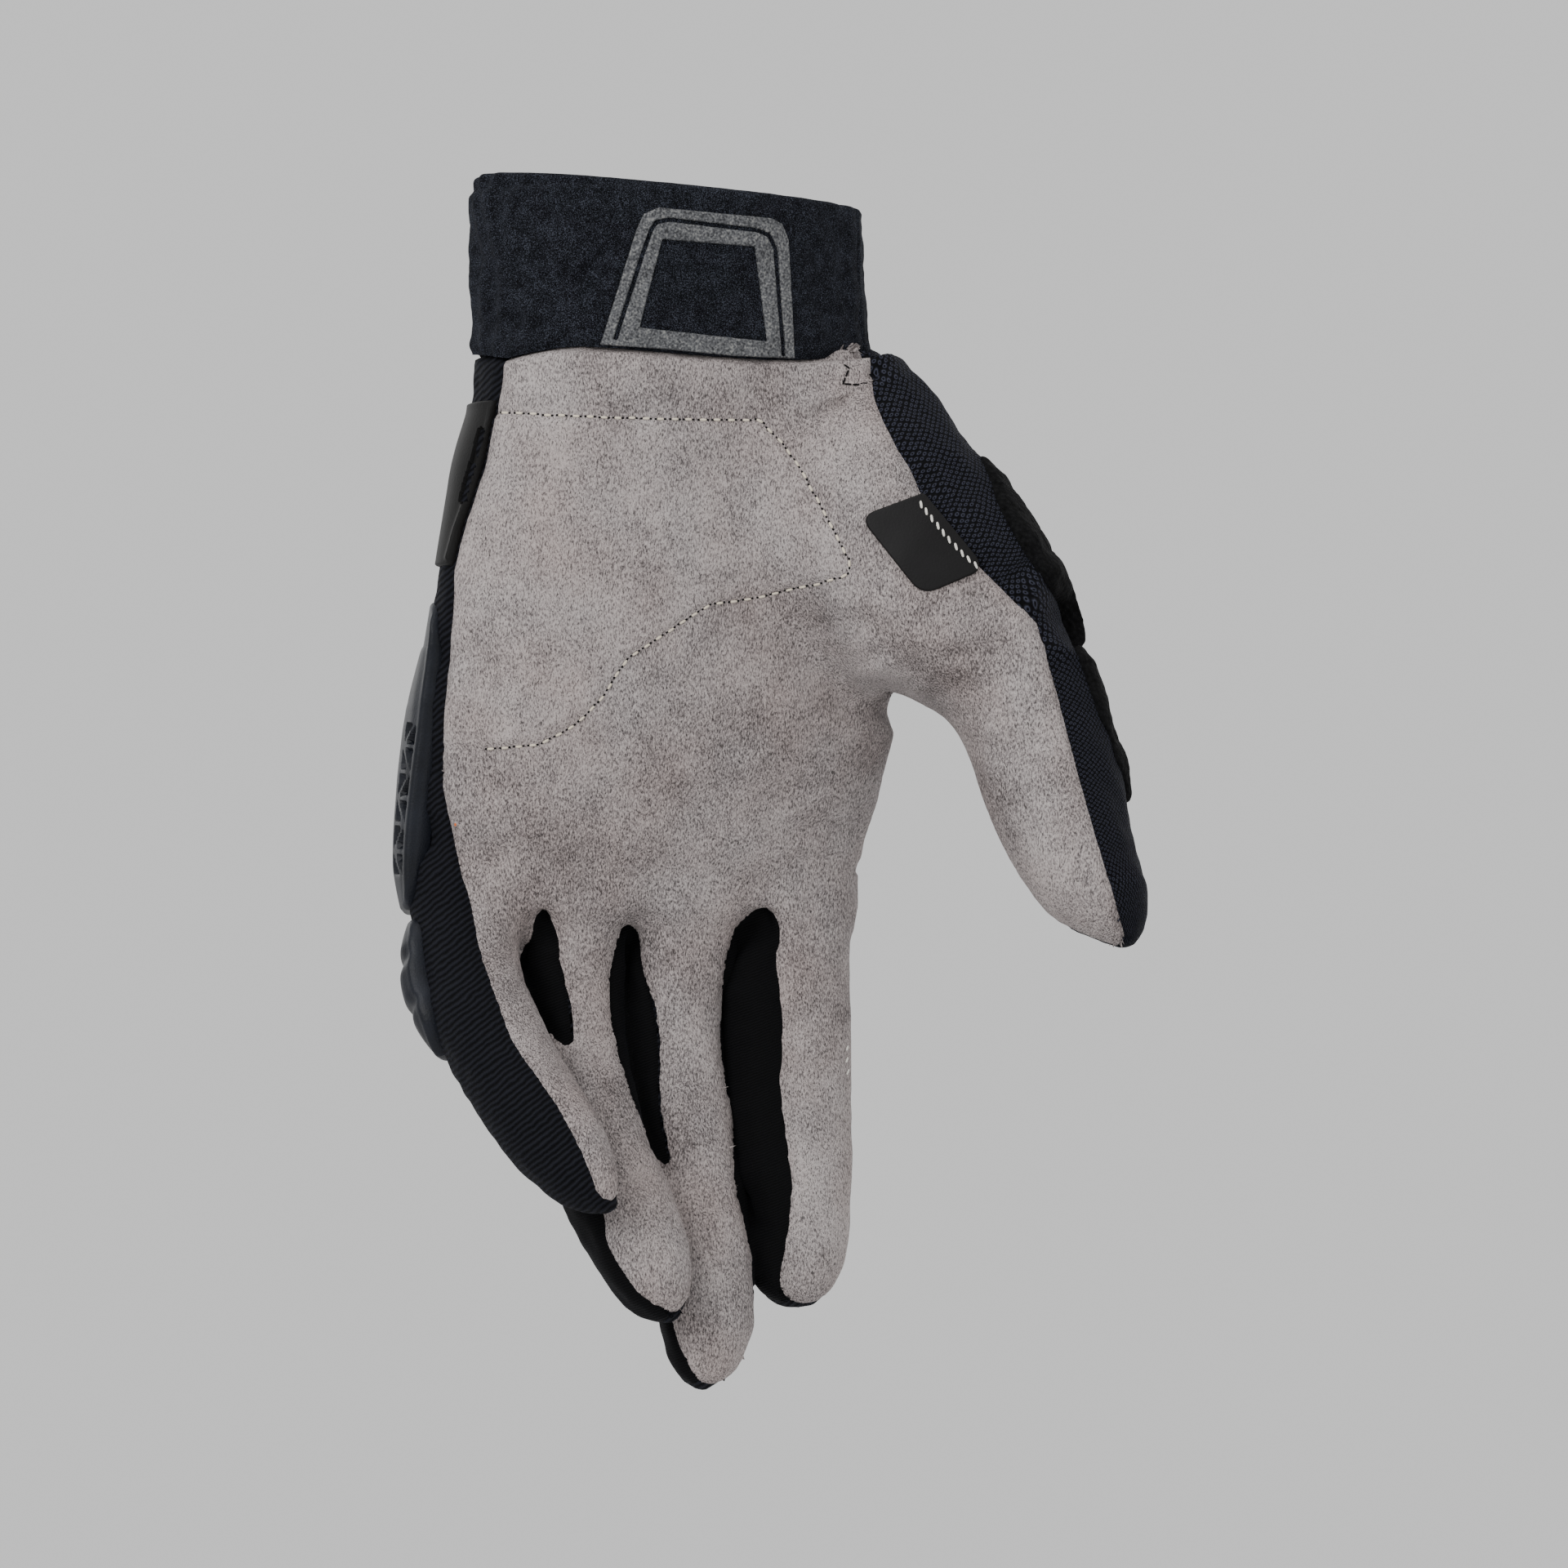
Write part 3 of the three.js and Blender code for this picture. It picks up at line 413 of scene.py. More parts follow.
def tube_mesh_parts(first, tube):
    """Corners and faces of one closed tube."""
    t = np.linspace(0, STATIONS - 1, RINGS)
    degrees = np.arange(RING_SIDES) * 360 / RING_SIDES
    t_all, degrees_all = np.repeat(t, RING_SIDES), np.tile(degrees, RINGS)
    points = skin_point(tube, t_all, degrees_all)
    middles = np.stack([points[:RING_SIDES].mean(0), points[-RING_SIDES:].mean(0)])
    return np.concatenate([points, middles]), *wrapped_grid(RINGS, RING_SIDES, first)


def fused(tubes, step):
    """The tubes as one closed skin of even quads: corners in millimetres, and triangles."""
    blocks, first = [], 0
    for tube in tubes:
        blocks.append(tube_mesh_parts(first, tube))
        first += len(blocks[-1][0])
    points = np.concatenate([b[0] for b in blocks])
    raw = bpy.data.objects.new("raw", mesh_of("raw", points, *[f for b in blocks for f in b[1:]]))
    bpy.context.scene.collection.objects.link(raw)
    remesh = raw.modifiers.new("fuse", "REMESH")
    remesh.mode = "VOXEL"
    remesh.voxel_size = step * MM
    shaped = raw.evaluated_get(bpy.context.evaluated_depsgraph_get()).to_mesh()
    corners = np.empty(len(shaped.vertices) * 3)
    shaped.vertices.foreach_get("co", corners)
    shaped.calc_loop_triangles()
    triangles = np.empty(len(shaped.loop_triangles) * 3, np.int32)
    shaped.loop_triangles.foreach_get("vertices", triangles)
    bpy.data.objects.remove(raw)
    return corners.reshape(-1, 3) / MM, triangles.reshape(-1, 3)


def normals_of(points, triangles):
    """Each corner's normal: the sum of its triangles' normals, weighted by area, made one long."""
    a, b, c = (points[triangles[:, k]] for k in range(3))
    face = np.cross(b - a, c - a)
    total = np.zeros_like(points)
    for k in range(3):
        for axis in range(3):
            total[:, axis] += np.bincount(triangles[:, k], face[:, axis], len(points))
    return total / np.maximum(np.linalg.norm(total, axis=1), 1e-9)[:, None]


def relaxed(points, triangles, times, share=0.5):
    """Corners moved towards the middle of their neighbours, a share of the way each time."""
    edges = np.concatenate([triangles[:, [0, 1]], triangles[:, [1, 2]], triangles[:, [2, 0]]])
    count = np.bincount(edges[:, 0], minlength=len(points))[:, None]
    for _ in range(times):
        total = np.stack([np.bincount(edges[:, 0], column[edges[:, 1]], len(points))
                          for column in points.T], 1)
        points = points + share * (total / np.maximum(count, 1) - points)
    return points


ROUNDS, LONGEST_MOVE = 7, 0.8
MOVE_SHARE = 0.9  # a little less than the whole way, so that no corner swings past the surface
ASTRAY_FROM, ASTRAY_WHOLLY = 0.15, 0.4  # how far off corners are ironed somewhat, and wholly
ASTRAY_SPREAD, ASTRAY_IRONING = 3, 60  # rounds


def onto_hand(points, triangles):
    """Corners moved along their normals to the smooth hand, at most LONGEST_MOVE in each round.
    Those that no round places, in the crook of the thumb, are ironed between their neighbours."""
    for _ in range(ROUNDS):
        points = relaxed(points, triangles, 1, 0.3)
        move = np.clip(hand_distance(points), -LONGEST_MOVE, LONGEST_MOVE)
        points = points - MOVE_SHARE * move[:, None] * normals_of(points, triangles)
    off = np.abs(hand_distance(points))
    astray = np.clip((off - ASTRAY_FROM) / (ASTRAY_WHOLLY - ASTRAY_FROM), 0, 1)
    for _ in range(ASTRAY_SPREAD):
        astray = np.maximum(astray, relaxed(astray[:, None], triangles, 1)[:, 0])
    for _ in range(ASTRAY_IRONING):
        points = points + astray[:, None] * (relaxed(points, triangles, 1) - points)
    return points


skin, skin_faces = fused(tubes, SKIN_STEP)
skin = onto_hand(relaxed(skin, skin_faces, 3), skin_faces)
left_over = np.percentile(np.abs(hand_distance(skin)), 99)
print("skin", len(skin), "corners; nearly all within", left_over.round(2), "mm of the smooth hand")

# %% [markdown]
# Everything that the photograph fixes is written in its pixels: the heel pad's outline, the folds
# at the finger joints, the lines of thread. A point of the glove is turned into a pixel by
# dividing by its distance from the camera. Noise for folds is a sum of waves in random directions,
# which has a known wavelength, unlike most noise functions.

# %% Pixels and waves


def to_pixels(points):
    """The photograph's pixel of each point: its sideways and upward offset over its depth."""
    scale = CAMERA_DISTANCE / (CAMERA_DISTANCE + points[:, 1]) / PIXEL
    half = IMAGE_SIDE / 2
    return np.stack([half + (points[:, 0] - VIEW_CENTRE[0]) * scale,
                     half - (points[:, 2] - VIEW_CENTRE[2]) * scale], 1)


def sight_lines(pixels):
    """Unit directions from the camera through pixels."""
    pixels = np.asarray(pixels, float)
    across = (pixels[:, 0] - IMAGE_SIDE / 2) * PIXEL
    up = (IMAGE_SIDE / 2 - pixels[:, 1]) * PIXEL
    ways = np.stack([across, np.full(len(pixels), float(CAMERA_DISTANCE)), up], 1)
    return ways / np.linalg.norm(ways, axis=1)[:, None]


def waves(points, length, seed, count=16, squeeze=(1, 1, 1)):
    """Smooth random relief, mostly from -1 to 1: sine waves of about one length, in random ways.
    squeeze shortens the waves along an axis."""
    draw = np.random.default_rng(seed)
    ways = draw.normal(size=(count, 3))
    ways /= np.linalg.norm(ways, axis=1)[:, None] * length * draw.uniform(0.7, 1.4, count)[:, None]
    phase = draw.uniform(0, 2 * np.pi, count)
    return np.sin((points * squeeze) @ ways.T * 2 * np.pi + phase).sum(1) / np.sqrt(2 * count)


def line_distance(pixels, line):
    """Distance in millimetres from pixels to a line of straight pieces, and the share of the line's
    length that the nearest point is along it."""
    line = np.asarray(line, float)
    best = np.full(len(pixels), 1e9)
    share = np.zeros(len(pixels))
    lengths = np.linalg.norm(np.diff(line, axis=0), axis=1)
    run = np.concatenate([[0], np.cumsum(lengths)])
    for a, b, length, before in zip(line[:-1], line[1:], lengths, run):
        s = np.clip((pixels - a) @ (b - a) / length**2, 0, 1)
        distance = np.linalg.norm(pixels - a - s[:, None] * (b - a), axis=1)
        nearer = distance < best
        best = np.where(nearer, distance, best)
        share = np.where(nearer, (before + s * length) / run[-1], share)
    return best * PIXEL, share


def inside_edges(pixels, corners, rounding):
    """How far pixels lie inside an outline with straight edges, in millimetres: the least distance
    to an edge, rounded at each corner by its own width. Corners run clockwise as seen."""
    corners = np.asarray(corners, float)
    depth = None
    for a, b, width in zip(corners, np.roll(corners, -1, 0), rounding):
        way = (b - a) / np.linalg.norm(b - a)
        edge = (way[0] * (pixels[:, 1] - a[1]) - way[1] * (pixels[:, 0] - a[0])) * PIXEL
        depth = edge if depth is None else smooth_least(depth, edge, width)
    return depth


# %% [markdown]
# The seams are angles round the tubes. How far a corner of the skin lies inside a seam is its
# angle from the seam, times the section's radius there. Where two tubes meet, the nearer one
# decides, with a margin, so that the edge runs on smoothly over the join. The two long edges of
# the suede and the tops of the slits between the fingers are in plain sight, so they follow the
# picture instead.

# %% Seams as distances
MARGINS = {"palm": 2.0, "thumb": 2.5}  # how much further off than the nearest tube one may be
FINGER_MARGIN = 0.6
BACK_SEAM, GUSSET_TUCK = 42, 5
FRONT_REACH = 8  # degrees past its two sides where a tube still counts as seen
# degrees that the suede may reach past its two angles, where the photograph gives its edge
SPARES = {"palm": (0, 14), "little": (20, 14), "ring": (20, 30), "middle": (20, 30),
          "index": (0, 30), "thumb": (28, 0)}
WEB_HEIGHT = 4  # how far above the knuckle line the strips between the fingers start
LOOPS_START, LOOPS_RADIUS = 185, 15  # where the thumb's rows of loops start, and its mean radius
FAR = 9  # a distance that is past every border's reach
LEFT_EDGE = [(616, 400), (616, 437), (614, 470), (605, 515), (596, 560), (583, 605), (567, 650),
             (556, 695), (555, 755), (549, 815), (544, 875), (539, 935), (540, 965), (550, 1010),
             (560, 1055), (575, 1115), (589, 1175), (609, 1235), (621, 1270), (640, 1300),
             (680, 1355), (705, 1400), (723, 1445), (737, 1490), (745, 1700)]
THUMB_EDGE = [(1066, 380), (1066, 437), (1071, 485), (1082, 515), (1097, 545), (1116, 575),
              (1129, 606), (1166, 662), (1202, 695), (1250, 745), (1279, 791), (1295, 844),
              (1310, 905), (1326, 965), (1342, 1025), (1361, 1085), (1377, 1145), (1392, 1200)]
# the openings between the fingers, each as its left side down the picture and its right side. Each
# outline holds the black side cloth and the shade in the gap, and all of it is made black strip
# cloth, so part of it is painted shade
SLITS = {
    "little_ring": ([(664, 1112), (655, 1118), (651, 1145), (652, 1175), (655, 1205), (665, 1235),
                     (680, 1268), (704, 1292)],
                    [(706, 1286), (701, 1262), (697, 1235), (689, 1205), (681, 1175), (679, 1145),
                     (673, 1118)]),
    "ring_middle": ([(771, 1133), (762, 1138), (757, 1160), (751, 1190), (752, 1235), (760, 1285),
                     (776, 1340), (800, 1408), (834, 1458)],
                    [(830, 1440), (818, 1408), (808, 1370), (804, 1330), (805, 1280), (799, 1235),
                     (786, 1195), (782, 1165), (780, 1140)]),
    "middle_index": ([(938, 1112), (922, 1117), (902, 1140), (892, 1172), (888, 1220), (886, 1270),
                      (891, 1325), (901, 1380), (904, 1440), (912, 1480), (921, 1535), (926, 1600),
                      (930, 1640)],
                     [(950, 1640), (952, 1560), (962, 1508), (967, 1455), (959, 1390), (952, 1335),
                      (955, 1275), (953, 1225), (946, 1185), (952, 1150), (949, 1120)]),
}


def beside(pixels, line):
    """Signed distance from a line that runs down the picture: above nought to its right."""
    line = np.asarray(line, float)
    distance, _ = line_distance(pixels, line)
    right = pixels[:, 0] > np.interp(pixels[:, 1], line[:, 1], line[:, 0])
    return np.where(right, distance, -distance)


def inside_outline(pixels, outline):
    """How far pixels are inside a closed outline, in millimetres. A point is inside where a line
    to its right crosses the outline an odd number of times."""
    corners = np.array(outline, float)
    inside = np.zeros(len(pixels), bool)
    for a, b in zip(corners, np.roll(corners, -1, 0)):
        spans = (a[1] > pixels[:, 1]) != (b[1] > pixels[:, 1])
        x = a[0] + (b[0] - a[0]) * (pixels[:, 1] - a[1]) / (b[1] - a[1] if a[1] != b[1] else 1)
        inside ^= spans & (pixels[:, 0] < x)
    distance, _ = line_distance(pixels, [*corners, corners[0]])
    return np.where(inside, distance, -distance)


def sector(tube, place, start, end, nearest):
    """How far points are inside the part of a tube between two angles."""
    t, degrees, distance = place
    middle_angle, half = (start + end) / 2, (end - start) / 2
    off = np.abs((degrees - middle_angle + 180) % 360 - 180)
    radius = (at_station(tube.half_width, t) + at_station(tube.half_depth, t)) / 2
    margin = MARGINS.get(tube.name, FINGER_MARGIN)
    return np.minimum(np.radians(half - off) * radius, margin - (distance - nearest))


def seam_table(points):
    """A row for each point: how far it is inside the suede, the thumb's mesh and the strips
    between the fingers, and its place round and along the thumb for the mesh's loops."""
    pixels = to_pixels(points)
    places = {tube.name: place_on(tube, points) for tube in tubes}
    distances = np.array([place[2] for place in places.values()])
    nearest = distances.min(0)
    angles = np.array([place[1] for place in places.values()])
    angles = angles[distances.argmin(0), np.arange(len(points))]
    in_front = (angles + FRONT_REACH) % 360 < 180 + 2 * FRONT_REACH
    openings = [np.where(in_front, -inside_outline(pixels, left + right), FAR)
                for left, right in SLITS.values()]
    suede = np.full(len(points), -1e3)
    for tube in tubes:
        t, spare = places[tube.name][0], SPARES[tube.name]
        start, end = at_station(tube.right, t), at_station(tube.left, t)
        start = np.minimum(start, np.maximum(start - spare[0], -FRONT_REACH))
        end = np.maximum(end, np.minimum(end + spare[1], 180 + FRONT_REACH))
        suede = np.maximum(suede, sector(tube, places[tube.name], start, end, nearest))
    suede = np.minimum(suede, beside(pixels, LEFT_EDGE))
    suede = np.minimum(suede, -beside(pixels, THUMB_EDGE))
    t, degrees, _ = places["thumb"]
    ends = at_station(thumb.inner, t), 360 + at_station(thumb.right, t) + SPARES["thumb"][0]
    mesh = sector(thumb, places["thumb"], *ends, nearest)
    strips = []
    for lower, upper, opening in zip(fingers[:-1], fingers[1:], openings):
        t = places[lower.name][0]
        below = KNUCKLE_Z + WEB_HEIGHT - points[:, 2]
        end = at_station(lower.right, t) + GUSSET_TUCK
        one = sector(lower, places[lower.name], -BACK_SEAM, end, nearest)
        t = places[upper.name][0]
        start = at_station(upper.left, t) - GUSSET_TUCK
        other = sector(upper, places[upper.name], start, 180 + BACK_SEAM, nearest)
        # the suede stops at each dark opening and the strip fills it: black side cloth, and painted
        # shade where the gap is shaded
        suede = np.minimum(suede, opening)
        strips.append(np.maximum(np.minimum(np.maximum(one, other), below), -opening))
    round_thumb = np.radians((degrees - LOOPS_START) % 360) * LOOPS_RADIUS
    along_thumb = places["thumb"][0] * thumb.spacing.mean()
    return np.stack([suede, mesh, *strips, round_thumb, along_thumb], 1)


SUEDE, MESH, STRIPS, UV = 3, 4, (5, 6, 7), (8, 9)  # columns after a corner's x, y and z


def scored(rows, triangles, values):
    """The same mesh with corners put in where values pass nought. A triangle that is crossed has
    one corner alone on its side, so it's cut into that tip and a strip of two triangles."""
    values = np.where(np.abs(values) < 1e-4, 1e-4, values)
    above = values[triangles] > 0
    crossed = (above.sum(1) % 3) != 0
    cut, side = triangles[crossed], above[crossed]
    alone = np.where(side.sum(1) == 1, side.argmax(1), (~side).argmax(1))
    a, b, c = np.take_along_axis(cut, (alone[:, None] + np.arange(3)) % 3, 1).T
    pairs = np.sort(np.concatenate([np.stack([a, b], 1), np.stack([a, c], 1)]), 1)
    edges, which = np.unique(pairs, axis=0, return_inverse=True)
    which = which.ravel() + len(rows)
    low, high = values[edges[:, 0]], values[edges[:, 1]]
    share = (low / (low - high))[:, None]
    new = rows[edges[:, 0]] * (1 - share) + rows[edges[:, 1]] * share
    p, q = which[: len(a)], which[len(a):]
    tip, *strip = (np.stack(three, 1) for three in ((a, p, q), (p, b, c), (p, c, q)))
    return np.concatenate([rows, new]), np.concatenate([triangles[~crossed], tip, *strip])


def kept(rows, triangles, values):
    """The part of a mesh whose triangles have values above nought at their middles."""
    chosen = triangles[values[triangles].mean(1) > 0]
    used, numbers = np.unique(chosen, return_inverse=True)
    return rows[used], numbers.reshape(-1, 3)


# %% [markdown]
# Cloth is never as smooth as a tube. The suede lies in soft folds at the web of the thumb and at
# the finger joints, and it sinks along every seam, where two panels are turned in and sewn. The
# heel pad is a second layer, a little proud, and its line of stitches pulls the suede down.

# %% Folds, pad and seams in the skin
HEEL_PAD = [(560, 506), (610, 505), (690, 509), (760, 512), (850, 514), (930, 515), (960, 545),
            (985, 583), (1005, 620), (1024, 655), (1040, 690), (1035, 705), (1000, 715), (920, 733),
            (870, 740), (830, 765), (800, 785), (770, 805), (753, 830), (740, 850), (720, 873),
            (700, 890), (660, 912), (600, 917), (530, 916)]
FOLDS = [
    # three pixels that the fold runs through, its depth and its width
    ((1148, 842), (1118, 812), (1062, 800), 0.55, 2.4),
    ((1150, 830), (1180, 800), (1232, 796), 0.5, 2.2),
    ((1132, 850), (1080, 862), (1010, 850), 0.4, 2.6),
    ((1120, 795), (1060, 765), (985, 770), 0.3, 2.2),
    ((1046, 1010), (1000, 1012), (940, 1022), 0.3, 1.8),
    ((1048, 1060), (1010, 1052), (960, 1060), 0.25, 1.5),
    ((576, 1080), (612, 1092), (660, 1090), 0.4, 1.6),
    ((572, 1100), (605, 1112), (640, 1108), 0.3, 1.4),
    ((590, 1150), (618, 1158), (648, 1152), 0.28, 1.3),
    ((600, 1205), (625, 1212), (652, 1204), 0.25, 1.3),
    ((552, 1060), (610, 1052), (700, 1062), 0.35, 3.2),
    ((955, 1290), (990, 1302), (1040, 1296), 0.35, 1.4),
    ((957, 1312), (995, 1322), (1040, 1318), 0.28, 1.2),
    ((808, 1330), (850, 1322), (888, 1332), 0.35, 1.4),
    ((812, 1352), (852, 1345), (892, 1352), 0.25, 1.2),
    ((706, 1262), (730, 1268), (756, 1262), 0.28, 1.2),
    ((720, 1290), (742, 1298), (762, 1294), 0.25, 1.2),
    ((770, 1420), (792, 1432), (812, 1428), 0.25, 1.2),
    ((905, 1470), (870, 1478), (838, 1472), 0.2, 1.2),
    ((1185, 905), (1215, 915), (1262, 908), 0.3, 1.8),
    ((1225, 1015), (1262, 1022), (1318, 1012), 0.22, 1.4),
    ((700, 1100), (760, 1078), (840, 1095), 0.45, 5.0),
    ((820, 1010), (900, 985), (1000, 960), 0.25, 4.0),
]
SEAM_SINK, SEAM_WIDTH, SUEDE_LIFT = 0.65, 0.75, 0.35
SEAM_CORNERS = 0.45  # a row of corners on each side of a suede seam keeps its groove sharp
DARK_SEAM_SINK, STRIP_SEAM_WIDTH = 0.35, 0.6
KNIT_FOLD, SUEDE_FOLD = 0.42, 0.2
LONG_WAVE, SHORT_WAVE, RIPPLE = 15, 5.5, 2.2
PAD_HEIGHT, PAD_BORDER, PAD_DENT, PAD_DENT_WIDTH = 0.45, 1.5, 0.4, 0.8
SLIT_DEPTH = 1.6
FOLD_DEPTH = 1.5  # times the depths above
FULL_FROM, FULL_ROWS = 1150, 350  # row of the picture where the bulge below starts, and its height
FULLNESS = 4.4  # how far the cloth between the middle and index fingers bulges, so that they meet
# how much the skin and the wipe fill the outer bend of the thumb, at rows of the picture
THUMB_FILL = """row skin wipe
600 0 0
675 0.9 0.9
700 1.4 1.4
742 2.4 2.4
765 2.7 2.6
787 1.8 1.7
810 -1.3 -0.6
840 -1.7 -0.3
870 -1.4 -0.3
930 0 0"""
WEB_PIXEL = 1165  # row of the picture above which the openings lie in the palm's own surface
EDGE_REACH, EDGE_IRONING = 8, 8  # seams' distances are kept to this range, and ironed so often


def bend(a, b, c, count=9):
    """A curve from a to c that passes through b: a parabola through the three."""
    s = np.linspace(0, 1, count)[:, None]
    a, b, c = (np.array(v, float) for v in (a, b, c))
    return a * (2 * s - 1) * (s - 1) + b * 4 * s * (1 - s) + c * s * (2 * s - 1)


def thumb_fill(pixels, column):
    """How far the thumb's bend is filled out at each row of the picture: column 1 is for the skin
    and column 2 for the wipe."""
    fill = np.array([line.split() for line in THUMB_FILL.splitlines()[1:]], float)
    at = np.clip(pixels[:, 1], fill[0, 0], fill[-1, 0])
    return smooth_curve(fill[:, 0], fill[:, column], at)


def bell(distance, width):
    """A smooth hump: 1 in the middle, and nearly nought at twice the width."""
    return np.exp(-((distance / width) ** 2))


def skin_relief(points, normals, inside):
    """How far each corner stands proud: folds seen by the camera, waves, the pad and the seams.
    inside has a column for the suede, the thumb's mesh and each strip."""
    pixels = to_pixels(points)
    facing = np.clip(-normals[:, 1] * 2.5, 0, 1)
    suede, mesh, *strips = inside.T
    on_suede = 1 / (1 + np.exp(-suede * 3))
    lift = (KNIT_FOLD + (SUEDE_FOLD - KNIT_FOLD) * on_suede) * waves(points, LONG_WAVE, 1)
    lift += (0.16 - 0.1 * on_suede) * waves(points, SHORT_WAVE, 2) + 0.035 * waves(points, RIPPLE, 3)
    for a, b, c, depth, width in FOLDS:
        distance, share = line_distance(pixels, bend(a, b, c))
        ends = np.sin(np.pi * np.clip(share, 0.02, 0.98)) ** 0.5
        shape = bell(distance, width) - 0.35 * bell(distance - 1.9 * width, width)
        lift -= FOLD_DEPTH * depth * shape * ends * facing
    edge, _ = line_distance(pixels, HEEL_PAD)
    step = PAD_HEIGHT * np.clip(heel_pad(pixels) / PAD_BORDER, -0.5, 0.5)
    lift += facing * (step - PAD_DENT * bell(edge, PAD_DENT_WIDTH))
    sink = SEAM_SINK * bell(np.abs(suede), SEAM_WIDTH)
    sink += DARK_SEAM_SINK * bell(np.where(suede < 0, np.abs(mesh), FAR), SEAM_WIDTH)
    for strip, (left, right) in zip(strips, SLITS.values()):
        sink += DARK_SEAM_SINK * bell(np.where(suede < 0, strip, FAR), STRIP_SEAM_WIDTH)
        near_root = np.clip((WEB_PIXEL - pixels[:, 1]) / 20, 0, 1)
        opening = np.clip(inside_outline(pixels, left + right), 0, 1)
        sink += facing * near_root * SLIT_DEPTH * opening
    arch = np.sin(np.pi * np.clip((pixels[:, 1] - FULL_FROM) / FULL_ROWS, 0, 1))
    full = np.clip(strips[-1] / 3, 0, 1) * np.clip(1.8 * arch, 0, 1)
    outer = np.clip(mesh / 4, 0, 1) * np.clip(normals[:, 0] * 1.5, 0, 1)
    lift += outer * thumb_fill(pixels, 1)
    return lift + SUEDE_LIFT * on_suede - sink + FULLNESS * full


def heel_pad(pixels):
    """How far pixels are inside the heel pad, in millimetres. It runs on round the left side."""
    return inside_outline(pixels, [*HEEL_PAD, (480, 916), (480, 506)])


seams = seam_table(skin)
edges_only = np.clip(seams[:, :5], -EDGE_REACH, EDGE_REACH)
seams[:, :5] = relaxed(edges_only, skin_faces, EDGE_IRONING)
rows = np.concatenate([skin, seams], 1)
for column, level in ((SUEDE, 0), (SUEDE, SEAM_CORNERS), (SUEDE, -SEAM_CORNERS), (MESH, 0)):
    rows, skin_faces = scored(rows, skin_faces, rows[:, column] - level)
skin_normals = normals_of(rows[:, :3], skin_faces)
relief = skin_relief(rows[:, :3], skin_normals, rows[:, 3:8])
rows[:, :3] += relief[:, None] * skin_normals
skin_normals = normals_of(rows[:, :3], skin_faces)
print("scored skin", len(rows), "corners")
print("relief", relief.min().round(2), "to", relief.max().round(2), "mm")

# %% [markdown]
# A panel is a wall of cloth. Its outer face is its part of the skin, its inner face is the same
# moved in by the cloth's thickness, and a rim closes the two along every free edge. Each piece
# rides on the glove's one body and stands for the CAD panel under it.

# %% Walls and pieces
CLOTH = 1.3
WRIST_WAVE = [(577, 436), (615, 440), (650, 432), (677, 427), (706, 425), (760, 428), (860, 436),
              (940, 441), (1000, 440), (1066, 433), (1110, 420)]
SHARP = np.radians(50)


def piece(name, mesh, material, replaces=()):
    """An object at the origin that rides on the glove, with one material."""
    made = bpy.data.objects.new(name, mesh)
    mesh.materials.append(material)
    mesh.shade_smooth()
    mesh.set_sharp_from_angle(angle=SHARP)
    bpy.context.scene.collection.objects.link(made)
    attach(made, "root")
    if replaces:
        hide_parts(*replaces)
    print(name, sum(len(p.vertices) - 2 for p in mesh.polygons), "triangles")
    return made


def give_uv(mesh, uv):
    """A UV map from a pair of lengths in millimetres at each corner."""
    layer = mesh.uv_layers.new(name="cloth")
    corners = np.empty(len(mesh.loops), np.int32)
    mesh.loops.foreach_get("vertex_index", corners)
    layer.uv.foreach_set("vector", uv[corners].astype(np.float32).ravel())


def give_value(mesh, name, values):
    """One number at each corner, for a material to read."""
    mesh.attributes.new(name, "FLOAT", "POINT").data.foreach_set("value", values.astype(np.float32))


def free_edges(triangles):
    """The edges that only one triangle has, in that triangle's own direction."""
    edges = np.concatenate([triangles[:, [0, 1]], triangles[:, [1, 2]], triangles[:, [2, 0]]])
    key = edges[:, 0].astype(np.int64) * (triangles.max() + 1) + edges[:, 1]
    back = edges[:, 1].astype(np.int64) * (triangles.max() + 1) + edges[:, 0]
    return edges[~np.isin(key, back)]


def two_sided(triangles, count):
    """Faces of a solid whose two sides have count corners each: the outer side, the inner side
    turned over, and a quad from every free edge to its copy."""
    rim = free_edges(triangles)
    quads = np.stack([rim[:, 1], rim[:, 0], rim[:, 0] + count, rim[:, 1] + count], 1)
    return np.concatenate([triangles, triangles[:, ::-1] + count]), quads


def panel(name, chosen, material, replaces, thickness=CLOTH):
    """A panel of the skin: the part with chosen values above nought, as a wall of cloth. It was
    cut flat."""
    part, part_faces = kept(np.concatenate([rows, skin_normals], 1), skin_faces, chosen)
    points, normals = part[:, :3], part[:, -3:]
    both = np.concatenate([points, points - normals * thickness])
    mesh = mesh_of(name, both, *two_sided(part_faces, len(points)))
    give_uv(mesh, np.tile(part[:, list(UV)], (2, 1)))
    give_value(mesh, "tone", np.tile(tone_of(points), 2))
    made = piece(name, mesh, material, replaces)
    return made


# %% [markdown]
# Materials are written as small graphs of nodes. Patterns are sized in real millimetres by a
# Mapping node on Object coordinates, which are metres here. Colours were judged in the
# photograph, as sRGB, and one function turns them into the linear light that the renderer works
# in.

# %% Materials: tools


def colour(code):
    """An sRGB hex colour as linear red, green, blue and alpha."""
    values = np.array([int(code[k:k + 2], 16) / 255 for k in (1, 3, 5)])
    linear = np.where(values <= 0.04045, values / 12.92, ((values + 0.055) / 1.055) ** 2.4)
    return (*linear.tolist(), 1.0)


